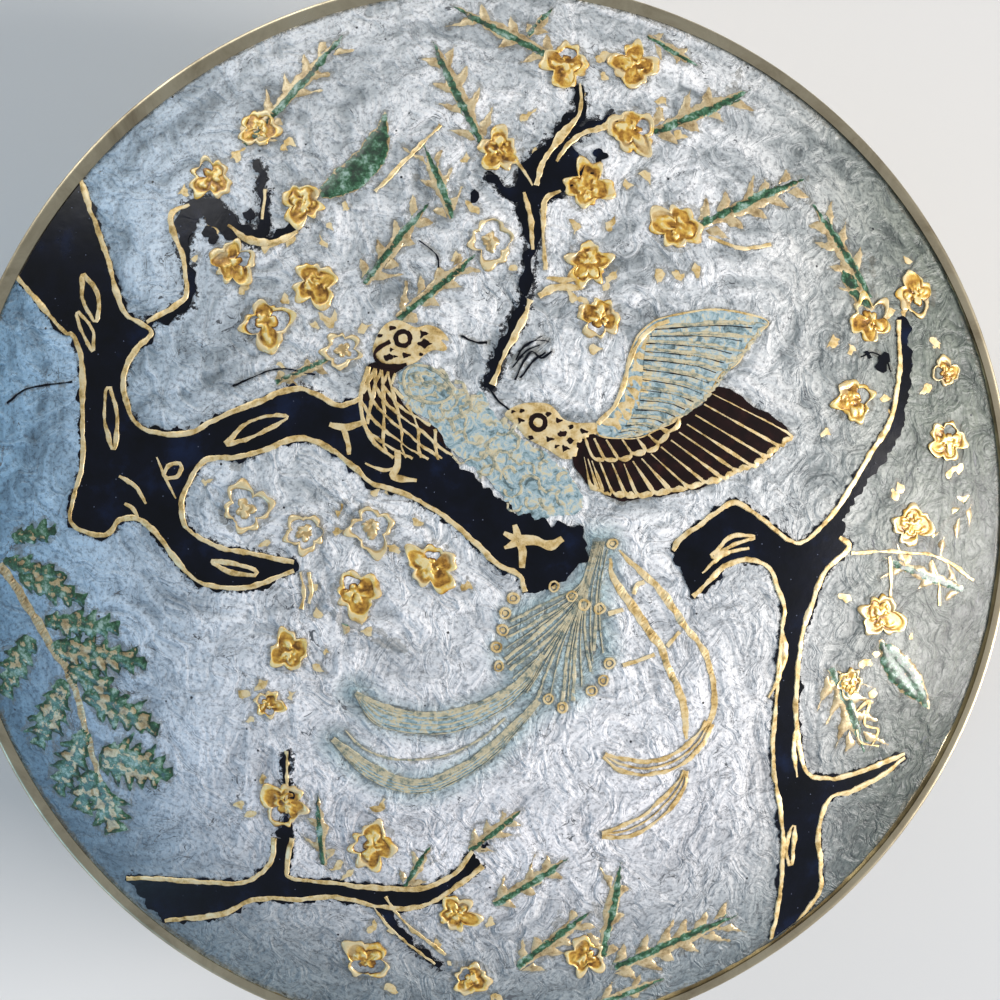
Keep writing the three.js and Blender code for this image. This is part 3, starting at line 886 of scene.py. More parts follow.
SPRAYS = [
    ((-46, 70), (-27, 92), 3, 5), ((-2, 70), (-11, 90), 3.2, 4), ((-8, 56), (-13, 70), 2.6, 3),
    ((-24, 44), (-12, 59), 2.8, 4), ((-18, 38), (-3, 50), 2.8, 4), ((12, 87), (-7, 97), 3, 3),
    ((30, 73), (50, 82), 3.4, 4), ((38, 55), (60, 65), 3.4, 5), ((72, 42), (61, 60), 3.2, 4),
    ((92, -14), (74, -7), 2.8, 3), ((94, 4), (84, -6), 2.4, 3), ((64, -28), (72, -45), 3.8, 4),
    ((0, -72), (14, -63), 2.8, 3), ((5, -86), (19, -74), 3.2, 4), ((21, -84), (24, -64), 3, 3),
    ((24, -87), (48, -77), 3.6, 6), ((20, -95), (34, -90), 2.6, 2), ((-17, -69), (-12, -60), 2.2, 2),
    ((-5, -61), (5, -53), 2.4, 3), ((-40, 26), (-29, 31), 2, 2), ((-30, -16), (-16, -23), 2.2, 1),
    ((-32, -64), (-33, -50), 2.2, 2), ((30, 92), (40, 86), 2, 2), ((7, 91), (12, 97), 2, 1),
]
BROAD_LEAVES = [
    [(-32, 60.5, 1.6), (-28.5, 62.5, 5), (-24.5, 65.5, 5.6), (-21.5, 70, 4.4), (-19.8, 76, 0.3)],
    [(74, -23, 0.6), (76.5, -26.5, 4.6), (80.5, -31, 5.4), (84, -35, 2.6), (85.5, -37.5, 0.3)],
    [(66, 49, 0.3), (67.5, 46, 2.6), (70, 42.5, 3), (72.5, 40, 1)],
]
STEM = [
    (-92.4, -7.9, 2.0), (-90.1, -10.8, 1.8), (-86.3, -16.4, 1.7), (-82.5, -23.1, 1.6), (-79.9, -26.8, 1.5),
    (-78.1, -31.4, 1.4), (-76.8, -37.1, 1.3), (-75.4, -42.9, 1.2), (-74.1, -48, 0.9), (-72.7, -52.7, 0.5),
]
FROND = [
    ((-89.9, -2.9), (-80.9, -1.2), 1.6), ((-91.6, -7.1), (-79.5, -9.8), 1.6),
    ((-88.5, -9.7), (-75.7, -14.2), 2.1), ((-83.6, -18.2), (-69.3, -19.2), 2.3),
    ((-82.5, -23.1), (-64.2, -25.5), 2.6), ((-79.5, -26.8), (-69.7, -32.3), 2.3),
    ((-76.6, -31.7), (-62.2, -38.4), 2.7), ((-73.9, -43.6), (-59.8, -47.3), 4.1),
    ((-74.5, -48.8), (-71.4, -59.2), 2.9), ((-86.4, -21.4), (-92.5, -32.9), 2.6),
    ((-80, -29.5), (-86.1, -42.8), 2.6), ((-76.1, -39), (-82.5, -51.8), 2.6),
    ((-75.2, -46.9), (-78.3, -55.1), 2.3),
]
TOOTH_PITCH = 2.6
RIB_PITCH = 1.5
LEAF_TOP = LINE_TOP + 0.04
STEM_TOP = LINE_TOP + 0.06
UNDER_GREEN = 0.6
STEM_GREEN = 0.15
FROND_SWELL = 1.2
BROAD_LEAF_HALF = 4


def leaf_enamel():
    """Green enamel with brass showing through: green where the leaf is marked so, brass on its high parts."""
    made, tree, shader = blank_material("half-clear green enamel over brass")
    spot = node(tree, "TexCoord").outputs["Object"]
    low = node(tree, "Attribute", attribute_name="green").outputs["Fac"]
    cloud = node(tree, "TexNoise", {"Vector": spot, "Scale": 1 / (1.3 * MM), "Detail": 6.0, "Roughness": 0.7})
    shifted = node(tree, "Math", {0: cloud, 1: 2.2, 2: -1.1}, operation="MULTIPLY_ADD")
    level = node(tree, "Math", {0: low, 1: shifted}, operation="ADD")
    share = node(tree, "MapRange", {0: level, 1: 0.44, 2: 0.56})
    brass = node(tree, "ValToRGB", {0: cloud},
                 [(0.34, "8f7850"), (0.45, "c0a87c"), (0.55, "d8c59c"), (0.7, "b49a68")])
    green = node(tree, "ValToRGB", {0: cloud},
                 [(0.34, "0d2114"), (0.46, "1d4028"), (0.54, "3d6b4a"), (0.66, "a3bdb0")])
    mixed = node(tree, "Mix", {0: share, 6: brass, 7: green}, data_type="RGBA")
    metal = node(tree, "MapRange", {0: share, 3: 0.3, 4: 0.0})
    bump = node(tree, "Bump", {"Height": cloud, "Strength": 0.4, "Distance": 0.12 * MM})
    connect(tree, shader, {"Base Color": mixed.outputs[2], "Metallic": metal,
                           "Normal": bump, "Roughness": 0.36, "Coat Weight": 0.3})
    return made


def toothed(foot, tip, half_width):
    """The outline of a broad leaf whose ragged teeth point to its tip, in percent of the field."""
    foot = Vector(foot)
    tip = Vector(tip)
    length = (tip - foot).length
    along = (tip - foot) / length
    across = Vector((-along.y, along.x))
    teeth = max(3, round(length / TOOTH_PITCH))
    halves = []
    for side in (-1, 1):
        points = []
        for i in range(teeth):
            luck = noise.noise(Vector((foot.x + i * 3.1, foot.y, side * 2.3)))
            reach = half_width * math.sin(math.pi * ((i + 0.7) / (teeth + 0.7)) ** 0.75) ** 0.7
            start = foot + along * length * (i + 0.1) / teeth
            points.append(start + across * side * reach * (0.55 + 0.1 * luck))
            end = foot + along * length * min(1, (i + 1.05 + 0.5 * luck) / teeth)
            points.append(end + across * side * reach * (1.15 + 0.6 * luck))
        halves.append(points)
    return [foot] + halves[0] + [tip] + halves[1][::-1]


def spear(foot, tip, half_width, pairs, unit=UNIT):
    """The outlines of a spray in mm: a long thin spear and its pairs of teeth."""
    foot = Vector(foot)
    tip = Vector(tip)
    along = (tip - foot).normalized()
    across = Vector((-along.y, along.x))
    middle = foot.lerp(tip, 0.55)
    thin = half_width * 0.2
    thick = half_width * 0.46
    made = [[foot - across * thin, middle - across * thick, tip, middle + across * thick,
             foot + across * thin]]
    for i in range(pairs):
        for side in (-1, 1):
            luck = noise.noise(Vector((foot.x + i * 2.7, foot.y, side * 3.3)))
            base = foot.lerp(tip, (i + 0.4 + 0.4 * luck) / (pairs + 0.3)) + across * side * thin * 1.4
            reach = half_width * (1.05 - 0.3 * i / pairs + 0.6 * luck)
            wide = along * half_width * 0.42
            out = across * side * reach
            back = base + out * 0.5 + along * half_width * (0.05 + luck * 0.4)
            point = base + along * half_width * (0.75 + luck) + out
            made.append([base - wide, back, point, base + out * 0.42 + wide * 1.3, base + wide])
    return [[point * unit for point in outline] for outline in made]


def lay_leaf(shell, greens, outlines, foot, tip, half_width, surface, green_at, unit=UNIT):
    """One leaf in relief; green_at gives how green a place is, from how far across it is and how high."""
    start = Vector(foot) * unit
    along = (Vector(tip) - Vector(foot)).normalized()
    across = Vector((-along.y, along.x))
    half = half_width * unit

    def ribs(x, y):
        """Slanting ribs on both sides of a groove along the middle, as shares of the height."""
        step = Vector((x, y)) - start
        phase = (step.dot(along) - abs(step.dot(across)) * 0.9) / RIB_PITCH
        groove = 1 - 0.4 * math.exp(-(step.dot(across) / 0.25) ** 2)
        return groove * (0.72 + 0.28 * abs(math.sin(phase * math.pi)))

    rough = [ragged(outline, 0.16, grain_mm=0.8, step=0.3) for outline in outlines]
    rows = lay_pillow(shell, rough, surface, LEAF_TOP, round_mm=0.2, rough=0.4, rough_mm=0.6, inner_step=0.4,
                      extra=ribs)
    for x, y, height in rows:
        greens.append(green_at((Vector((x, y)) - start).dot(across) / half, height))
    greens.extend([UNDER_GREEN] * len(rows))
    if surface is on_lid:
        for outline in rough:
            lines_drawn.extend(outline)


leaves = ([], [])
greens = []
for i, (foot, tip, half_width, pairs) in enumerate(SPRAYS):
    lean = 0.12 if i % 2 else -0.12
    lay_leaf(leaves, greens, spear(foot, tip, half_width, pairs), foot, tip, half_width, on_lid,
             lambda offset, height: 1.1 - abs(offset - lean) / 0.34)
for path in BROAD_LEAVES:
    lay_leaf(leaves, greens, [stroke(path)], path[0][:2], path[-1][:2], BROAD_LEAF_HALF, on_lid,
             lambda offset, height: 0.4 + 0.8 * height - (0.35 if offset > 0.35 else 0))
for foot, tip, half_width in FROND:
    outline = [point * UNIT for point in toothed(foot, tip, half_width * FROND_SWELL)]
    lay_leaf(leaves, greens, [outline], foot, tip, half_width, on_lid,
             lambda offset, height: 1.12 - 0.95 * height)
stem_rows = lay_pillow(leaves, strip(STEM, rough=0.15), on_lid, STEM_TOP, round_mm=0.2, rough=0.3)
greens.extend([STEM_GREEN] * len(stem_rows) * 2)
green_finish = leaf_enamel()
add_piece("leaves", *leaves, green_finish, "relief_brass", smooth_angle=60, marks={"green": greens})

# The birds' bodies
# Two birds of a common kind in such work, with heads of brass cut with small cells of dark brown enamel.
# The sitting bird's breast is brown under a brass net, and its back pale turquoise with brass scales.

SITTER_HEAD = [
    (-22.6, 32), (-22, 34), (-20.9, 36), (-19.4, 37.2), (-17.6, 37.4), (-15.8, 36.6), (-14.6, 36.1),
    (-12.7, 36.6), (-10.9, 36.1), (-9.4, 34.9), (-8.8, 33.7), (-10.2, 33.9), (-9.1, 32.5), (-9.7, 31.8),
    (-11.6, 32), (-13.4, 31), (-14.6, 29.9), (-16.4, 29.2), (-18.5, 28.9), (-20.6, 29.5), (-22.1, 30.7),
]
SITTER_BREAST = [
    (-23.5, 29.2), (-24.3, 26.6), (-24.7, 23.9), (-24.6, 21.2), (-24, 18.7), (-23, 16.3), (-21.3, 14.2),
    (-19.5, 13), (-17.1, 12), (-15, 11.6), (-10.4, 11.6), (-7.3, 11.8), (-9.2, 13.9), (-10.4, 16.9),
    (-12.8, 19), (-15.8, 21.1), (-17.7, 23), (-18.6, 24.8), (-19.1, 26.6), (-18.2, 28.1), (-16.4, 29.2),
    (-18.5, 29.5), (-20.6, 29.8),
]
BREAST_LEFT = [
    (-23.4, 29), (-24.3, 26), (-24.7, 23), (-24.5, 19.9), (-23.4, 16.9), (-21.6, 14.5), (-18.9, 12.5),
]
BREAST_RIGHT = [
    (-18.5, 27.8), (-18.5, 25.4), (-16.4, 22.1), (-13.4, 19.9), (-10.7, 17.2), (-9.2, 14.2), (-7.4, 11.9),
]
SITTER_BACK = [
    (-17.9, 26.6), (-17.3, 28.1), (-15.5, 29.5), (-14, 29.6), (-10.4, 27.8), (-8, 25.4), (-4.9, 23.3),
    (-2.5, 24.2), (-0.1, 19.9), (3.2, 16.3), (7.8, 13.8), (11.8, 10.5), (14.6, 7.1), (15.5, 3.8),
    (14, 2.1), (9.3, 1.9), (5.7, 0.8), (3.2, 2), (1.1, 5.4), (-1.3, 7.8), (-4.4, 10.5), (-6.8, 12.1),
    (-8.9, 14.2), (-10.4, 17.2), (-13.4, 19.6), (-15.8, 21.5), (-17.6, 23.9),
]
BACK_LEFT = [(-17.3, 28.1), (-16.4, 23), (-10.4, 18.1), (-7.4, 12.7), (-1.3, 8.4), (3.2, 2.6)]
BACK_RIGHT = [(-10.4, 27.8), (-5.5, 23.6), (-1.3, 21.7), (4.8, 15.7), (11.8, 10.5), (15.2, 4.1)]
SHOULDER = [
    (-17, 26.6), (-16.4, 28.4), (-14.3, 29.3), (-11, 28.1), (-8.6, 26), (-8, 24.5), (-9.2, 23),
    (-11.6, 22.4), (-14.3, 23), (-16.4, 24.2),
]
NAPE = [
    (-19.4, 33.6, 0.5), (-21.4, 32.5, 0.8), (-22.3, 31, 0.7), (-21.1, 29.5, 0.8), (-18.5, 28.9, 0.8),
    (-16.4, 29.4, 0.4),
]
SITTER_CELLS = [
    (-19.1, 36, 1.0), (-21.2, 34.7, 0.7), (-13.4, 34.9, 1.4), (-13.2, 33.2, 1.6), (-19.1, 32.1, 0.8),
    (-19.7, 30.7, 1.3), (-16.6, 31.1, 1.2), (-13.7, 31.3, 0.6), (-18.5, 30.8, 0.8),
]
FLYER_HEAD = [
    (1.3, 20.4), (2.3, 21.4), (4.5, 22.3), (7.2, 22.5), (9.4, 22.2), (10.9, 20.9), (12.1, 19.5),
    (14.6, 18.8), (18.3, 18.7), (18.3, 16.9), (15.8, 15.6), (14.6, 12.6), (14, 12.3), (11.8, 12.3),
    (9.4, 13.8), (7.2, 15), (5.1, 16.2), (3.6, 18), (2, 19.5),
]
FLYER_CELLS = [
    (2.8, 20.8, 0.7), (4.5, 21, 0.7), (4.2, 19.2, 1.1), (9.2, 20.4, 0.8), (11.2, 19.2, 1.0),
    (6.1, 16.1, 0.8), (9.4, 15.8, 1.2), (11.8, 16.9, 1.2), (12.4, 14.1, 1.3), (13.2, 15.5, 1.0),
    (10.8, 14.6, 0.8), (13.4, 18.1, 0.8), (15.8, 17.2, 1.3), (15.2, 14.7, 1.3),
]
FEET = [
    [(-18.1, 13.9, 1.0), (-18.2, 10.9, 1.3), (-18.9, 9.1, 1.1), (-14.7, 8.4, 0.7)],
    [(-18.9, 10.6, 0.4), (-20.7, 10.3, 0.3), (-24, 11.6, 0.2)],
    [(-24.3, 19, 0.8), (-26.4, 18.1, 1.0), (-28.5, 18.1, 1.0), (-30.4, 18.7, 0.7)],
    [(-27.9, 17.8, 0.8), (-27.2, 15.4, 0.8), (-26.9, 13.1, 0.6)],
    [(11.8, -2.2, 1.0), (9.7, -3.5, 1.6), (6.3, -2.6, 1.3), (3.8, -2.6, 2.0)],
    [(3.8, -2.6, 1.6), (3.1, 0.3, 0.5)],
    [(3.8, -2.6, 1.6), (1.1, -1.2, 0.4)],
    [(3.8, -2.9, 1.6), (1.2, -3.9, 0.4)],
    [(4.1, -2.9, 1.4), (4.6, -5.3, 1.2), (4.6, -7.6, 0.8)],
]
EYES = [(-17.1, 34.1, 1.75), (7.4, 18.9, 1.75)]
TURQUOISE_TOP = GROUND_TOP + 0.05
PLATE_TOP = LINE_TOP - 0.03
BROWN_TOP = GROUND_TOP + 0.07
CELL_TOP = PLATE_TOP + 0.015
# An eye's brown ring and its brass heart: share of its size, and top
EYE_PARTS = ((1.0, PLATE_TOP + 0.02), (0.5, PLATE_TOP + 0.035))
# Near enough to a full turn for cells this small
CELL_TURN = 6.28
NET_STEPS = 30
SHOULDER_TOP = LINE_TOP - 0.06
SCALE_TOP = LINE_TOP - 0.08
BACK_ROWS = 11
BACK_COLUMNS = 4
FLECKED_SHARE = 0.45


def turquoise_enamel():
    """Pale turquoise enamel with mica, thin and streaky over the grey ground."""
    made, tree, shader = blank_material("pale turquoise enamel with mica")
    spot = node(tree, "TexCoord").outputs["Object"]
    cloud = node(tree, "TexNoise", {"Vector": spot, "Scale": 1 / (1.2 * MM), "Detail": 7.0, "Roughness": 0.72,
                                    "Distortion": 0.8})
    tone = node(tree, "ValToRGB", {0: cloud},
                [(0.36, "4f6163"), (0.43, "7f979c"), (0.49, "9cb4ba"), (0.53, "b2c3c7"), (0.57, "cbc6ab"),
                 (0.66, "d9c699")])
    bump = node(tree, "Bump", {"Height": cloud, "Strength": 0.5, "Distance": 0.15 * MM})
    connect(tree, shader, {"Base Color": tone, "Normal": bump, "Roughness": 0.38,
                           "Coat Weight": 0.3})
    return made


def washed_brass():
    """Thin brass lines that a wash of grey-turquoise enamel half covers."""
    made, tree, shader = blank_material("brass under a thin wash of enamel")
    spot = node(tree, "TexCoord").outputs["Object"]
    cloud = node(tree, "TexNoise", {"Vector": spot, "Scale": 1 / (0.9 * MM), "Detail": 5.0, "Roughness": 0.7})
    tone = node(tree, "ValToRGB", {0: cloud},
                [(0.34, "5f6c68"), (0.43, "929684"), (0.5, "c0b596"), (0.58, "cfc3a0"), (0.68, "9fb0ae")])
    bump = node(tree, "Bump", {"Height": cloud, "Strength": 0.4, "Distance": 0.1 * MM})
    connect(tree, shader, {"Base Color": tone, "Normal": bump, "Roughness": 0.4})
    return made


def brown_enamel():
    """Dark red-brown opaque enamel in the small cells, glossy."""
    made, tree, shader = blank_material("dark red-brown enamel")
    spot = node(tree, "TexCoord").outputs["Object"]
    cloud = node(tree, "TexNoise", {"Vector": spot, "Scale": 1 / (1.2 * MM), "Detail": 4.0})
    tone = node(tree, "ValToRGB", {0: cloud}, [(0.35, "140806"), (0.6, "1f0d0b"), (0.8, "341813")])
    connect(tree, shader, {"Base Color": tone, "Roughness": 0.24, "Specular IOR Level": 0.3})
    return made


bird_plates = ([], [])
bird_brown = ([], [])
bird_turquoise = ([], [])
bird_lines = ([], [])
washed_lines = ([], [])


def along_line(points, share):
    """The place at a share of the way along a line of points."""
    part = min(max(share, 0), 0.9999) * (len(points) - 1)
    return Vector(points[int(part)]).lerp(Vector(points[int(part) + 1]), part % 1)


def lay_net(sides, count, slant, width, top):
    """Two sets of crossing lines between two side lines, as a net of long scales."""
    for turn in (slant, -slant):
        for i in range(-count, 2 * count):
            path = []
            for step in range(NET_STEPS + 1):
                share = step / NET_STEPS
                across = i / count + turn * share
                if 0.0 <= across <= 1.0:
                    path.append(along_line(sides[0], share).lerp(along_line(sides[1], share), across) * UNIT)
            if len(path) > 3:
                lay_ridge(bird_lines, evened(path, closed=False), on_lid, width, top, wander=0.7)


def dark_cells(places):
    """Small three-cornered and four-cornered cells of brown cut into a brass head."""
    for i, (x, y, size) in enumerate(places):
        turn = i * 2.1
        corners = 3 + i % 2
        angles = [turn + k * CELL_TURN / corners for k in range(corners)]
        outline = [Vector((x + size * 0.8 * math.cos(angle), y + size * 0.6 * math.sin(angle))) * UNIT
                   for angle in angles]
        lay_cell(bird_brown, [ragged(outline, 0.12, grain_mm=0.5, step=0.2)], on_lid, CELL_TOP)


for outline in (SITTER_HEAD, FLYER_HEAD):
    closed = smooth(outline, 0.4, closed=True)
    flow_lines.extend(closed)
    lay_pillow(bird_plates, [closed], on_lid, PLATE_TOP, round_mm=0.1, rough=0.08)
    lines_drawn.extend(closed)
breast = smooth(SITTER_BREAST, 0.4, closed=True)
lay_cell(bird_brown, [ragged(breast, 0.15)], on_lid, BROWN_TOP)
lay_ridge(bird_lines, smooth(BREAST_LEFT, LINE_STEP), on_lid, width=0.5, top=LINE_TOP - 0.02)
lay_net((BREAST_LEFT, BREAST_RIGHT), count=4, slant=0.8, width=0.36, top=LINE_TOP - 0.03)
lines_drawn.extend(breast)
back = smooth(SITTER_BACK, 0.6, closed=True)
lay_cell(bird_turquoise, [ragged(back, 0.35)], on_lid, TURQUOISE_TOP)
flow_lines.extend(back)
shoulder = ragged(smooth(SHOULDER, 0.5, closed=True), 0.15)
lay_pillow(washed_lines, [shoulder], on_lid, SHOULDER_TOP, round_mm=0.2, rough=1.6, rough_mm=0.9)
shoulder_line = smooth(SHOULDER, LINE_STEP, closed=True)
lay_ridge(washed_lines, shoulder_line, on_lid, width=0.4, top=LINE_TOP - 0.04, closed=True)
scale_draw = random.Random(3)
for row in range(BACK_ROWS):
    for column in range(BACK_COLUMNS):
        share = (row + 0.5) / BACK_ROWS
        across = (column + 0.3 + 0.5 * (row % 2)) / BACK_COLUMNS
        x, y = along_line(BACK_LEFT, share).lerp(along_line(BACK_RIGHT, share), across)
        size = scale_draw.uniform(1.1, 1.9)
        scale = ragged(circle(x, y, size), 0.2, grain_mm=0.6)
        begin = scale_draw.randrange(len(scale))
        arc = (scale[begin:] + scale[:begin])[:int(len(scale) * scale_draw.uniform(0.4, 0.8))]
        arc = evened(arc, step=0.3, closed=False)
        lay_ridge(washed_lines, arc, on_lid, width=0.4, top=SCALE_TOP, wander=0.9)
        if scale_draw.random() < FLECKED_SHARE:
            fleck = ragged(circle(x, y, size * 0.6), 0.25, grain_mm=0.5)
            lay_pillow(washed_lines, [fleck], on_lid, SCALE_TOP, round_mm=0.15, rough=0.6)
for foot in FEET:
    lay_cell(bird_plates, strip(foot, spread=0.05, rough=0.1, step=0.35), on_lid, LINE_TOP)
dark_cells(SITTER_CELLS)
dark_cells(FLYER_CELLS)
lay_cell(bird_brown, strip(NAPE, rough=0.1, step=0.35), on_lid, CELL_TOP)
for x, y, size in EYES:
    for shell, (share, top) in zip((bird_brown, bird_plates), EYE_PARTS):
        outline = ragged(circle(x, y, size * share, sides=18), 0.06, grain_mm=0.5, step=0.2)
        lay_cell(shell, [outline], on_lid, top)

# The birds' feathers
# The spread wing is brown with brass quills, and the raised wing pale turquoise with quills half washed
# over. The tail's fan and plumes are fine brass lines over a turquoise wash, some with rings at their ends.

SPREAD_WING = [
    (14, 17.8), (15.8, 17.9), (18.3, 16.5), (22, 15.9), (25.7, 16.2), (28.2, 17), (32, 18.6), (34.9, 20.5),
    (38, 22.3), (40.6, 25.2), (43.5, 24.8), (47.4, 22), (51.6, 19.8), (55.5, 16.4), (53.6, 15),
    (51.9, 12.8), (48.6, 11.1), (44.7, 9.6), (41.5, 8.1), (37, 6.6), (33.6, 5.9), (29.5, 5.2), (25.7, 4.9),
    (22.9, 4.4), (20.1, 5.6), (17.6, 6.8), (15.8, 8.6), (13.9, 10.8), (13.6, 13.8),
]
QUILL_ROOTS = [
    (15.8, 12.6), (17.6, 11.7), (23.2, 11.3), (27.3, 12.5), (32, 15.6), (35.8, 19.2), (40, 24.1),
]
QUILL_TIPS = [(17, 7.4), (20.1, 6), (25.7, 5.4), (33.6, 6.5), (41.5, 8.7), (48.6, 11.6), (55.2, 16.4)]
COVERT_ROOTS = [
    (15.8, 16.3), (18, 15.9), (20.7, 15.6), (24.5, 15.9), (27, 16.2), (29.5, 17.7), (32.3, 18.9),
]
COVERT_TIPS = [
    (17.6, 12), (20.1, 11.9), (23.2, 12.1), (26.3, 13.2), (29.2, 14.1), (31.7, 16.5), (34.2, 19.6),
]
RAISED_WING = [
    (18.3, 19), (21.4, 22), (23, 26), (24.3, 30.9), (25.9, 34.6), (28.4, 37), (31.6, 38.2), (39.3, 39.6),
    (45.7, 39.1), (51.1, 37.5), (49.1, 35.3), (46.9, 33.1), (44.9, 29.7), (41.8, 27.8), (40, 25.1),
    (38.1, 22.8), (34.5, 20.2), (32.6, 18.9), (29.5, 17.6), (26.3, 16.1), (22.6, 15.9), (18.6, 16.5),
]
RAISED_LEAD = [
    (18.3, 18.7), (21.4, 21.7), (23.3, 26), (24.6, 30.6), (26.5, 34.2), (29, 36.4), (31.9, 37.5),
]
RAISED_MIDDLE = [
    (22, 16.2), (24.8, 18.7), (27.3, 22), (28.3, 26), (29, 30), (29.9, 33.3), (32.2, 36.4),
]
RAISED_TIPS = [
    (24.8, 16.2), (30.1, 18), (34.9, 20.6), (38.7, 23.5), (42, 27.8), (45.6, 31.6), (50.3, 37.2),
]
FAN_DOTS = [
    (10.3, -11.1), (1.4, -15.9), (1, -19), (-0.2, -22.2), (0.3, -25.8), (9.4, -32), (12, -33.7),
    (17.5, -30.6), (19.6, -28.7), (20.7, -25.5), (18.8, -15.3), (15.9, -14.5), (13.6, -12.9), (21.1, -3.3),
    (2.9, -13.2),
]
FAN_LINES = [
    [(17.6, -2.9), (15.3, -10.6), (10.7, -13.3), (2.2, -17.4)],
    [(17.6, -2.9), (15.3, -11.4), (11.1, -15.2), (1.6, -20.5)],
    [(17.6, -2.9), (15.3, -11.8), (11.1, -16.4), (1.4, -24.4)],
    [(18, -2.9), (15.7, -11.8), (10.3, -19.9), (2.2, -26.4)],
    [(18, -2.9), (15.7, -11.8), (8.8, -23.8), (3.4, -29.6)],
    [(18.4, -2.9), (15.7, -12.1), (10, -24.6), (7.3, -32)],
    [(18.8, -2.9), (16.1, -12.1), (13.4, -20.7), (12, -32.5)],
    [(18.8, -2.9), (16.1, -12.1), (14.4, -22.3), (14.1, -32.5)],
    [(19.2, -2.9), (16.5, -12.2), (16.2, -20.7), (17.2, -27)],
    [(19.6, -2.9), (18.4, -10.6), (18.1, -18.4), (17.8, -23.1)],
    [(20.7, -6), (19.2, -13), (19.6, -17.3), (21.3, -24)],
]
BARS = [
    [(20.7, -6, 0.6), (21.3, -9.5, 1.2), (24.7, -14.6, 1.6), (28, -19.4, 1.6), (30.6, -23, 1.4),
     (31.6, -25.8, 1.3), (33.8, -30.6, 1.4), (35.1, -34.7, 1.5), (35.7, -40.4, 0.7)],
    [(22.3, -4.5, 0.5), (26.3, -8.4, 1.1), (29.8, -11.6, 1.4), (32.7, -15.5, 1.4), (34.7, -18.7, 1.1),
     (37.6, -22, 1.1), (39.7, -26, 1.1), (40.7, -30.8, 1.1), (40.8, -34.9, 1.1), (39.3, -38.9, 1.0)],
]
PLUMES = [
    [(8.4, -23.7, 0.8), (5.3, -28.4, 2.1), (0.7, -32.3, 2.9), (-5.5, -35.2, 3.7), (-10.9, -36.4, 3.9),
     (-17.1, -35.9, 3.9), (-21.7, -34.5, 3.7), (-25.9, -30.6, 0.6)],
    [(7.7, -32.4, 0.8), (3.8, -36.7, 1.6), (-0.8, -41.5, 2.1), (-6.2, -45.4, 2.3),
     (-12.4, -48.2, 2.5), (-17.8, -48, 2.5), (-24, -45, 2.5), (-30.2, -39.4, 0.6)],
    [(40, -37.3, 1.2), (37.7, -41.3, 2.1), (33.8, -44.4, 2.5), (28.5, -45.8, 2.5), (23.7, -44.9, 2.3),
     (20.1, -42.9, 0.7)],
    [(35.7, -46.5, 0.4), (34.6, -49.8, 1.8), (32, -53, 2.5), (28.9, -55.8, 2.7), (24.9, -57.8, 2.7),
     (20.1, -58.4, 0.7)],
]
PLUME_QUILL = [
    (1.5, -35.5, 0.4), (-3.1, -39.4, 0.4), (-8.5, -42.2, 0.4), (-14, -43.2, 0.4), (-20.1, -42.9, 0.4),
    (-24.8, -40.9, 0.4), (-27.8, -37.7, 0.3),
]
CROSS_BARS = [[(25.1, -12.7), (25.6, -11), (27.1, -10.4)], [(31.6, -22.6), (33.9, -19.9)],
              [(23.3, -26), (29.2, -24.1)], [(20.4, -16.3), (23.2, -15.6)]]
FINE_LINES = 40
# How many of the plumes lie in the turquoise wash; the others are bare brass
WASHED_PLUMES = 2
WASHED_QUILLS = (1.0, 0.6, 0.15, -0.35, -0.75, -1.0)
BARE_QUILLS = (1.0, 0.0, -1.0)
# Added to both reaches and taken off again, so that a quill can lie on either side of its plume's middle
PLUME_REACH = 10
FAN_QUILL = 0.46
FAN_BETWEEN = 0.12
FAN_START = 0.08
wash_places = []


def feathers(shell, roots, tips, count, thick, thin, top):
    """Long loops side by side, each a feather: thick at its round tip and thin where it goes under."""
    for i in range(count):
        a = along_line(roots, (i + 0.03) / count)
        b = along_line(roots, (i + 0.97) / count)
        tip = along_line(tips, (i + 0.5) / count)
        wide = (along_line(tips, (i + 1) / count) - along_line(tips, i / count)) * 0.5
        out = (tip - a.lerp(b, 0.5)).normalized() * wide.length * 0.5
        loop = [(a, thin), (tip - wide - out, thick * 0.5), (tip, thick), (tip + wide - out, thick * 0.5),
                (b, thin)]
        path = smooth([(point.x, point.y, width) for point, width in loop], 0.3)
        lay_ridge(shell, path, on_lid, thin, top, wander=0.5)


wing = smooth(SPREAD_WING, 0.5, closed=True)
lay_cell(bird_brown, [ragged(wing, 0.15)], on_lid, BROWN_TOP)
lines_drawn.extend(wing)
flow_lines.extend(wing)
feathers(bird_lines, QUILL_ROOTS, QUILL_TIPS, count=15, thick=1.15, thin=0.16, top=LINE_TOP - 0.02)
feathers(bird_lines, COVERT_ROOTS, COVERT_TIPS, count=7, thick=1.05, thin=0.4, top=LINE_TOP)
wing = smooth(RAISED_WING, 0.5, closed=True)
lay_cell(bird_turquoise, [ragged(wing, 0.15)], on_lid, TURQUOISE_TOP)
flow_lines.extend(wing)
lay_ridge(bird_lines, smooth(RAISED_LEAD, LINE_STEP), on_lid, width=0.5, top=LINE_TOP - 0.04)
lay_ridge(bird_lines, evened(wing), on_lid, width=0.25, top=LINE_TOP - 0.08, closed=True)
lead = [Vector(point) * UNIT for point in RAISED_LEAD + RAISED_MIDDLE[::-1]]
lay_pillow(bird_plates, [ragged(lead, 0.3)], on_lid, LINE_TOP - 0.05, round_mm=0.25, rough=1.1, rough_mm=0.7)
feathers(washed_lines, RAISED_MIDDLE, RAISED_TIPS, count=13, thick=0.8, thin=0.16, top=LINE_TOP - 0.06)
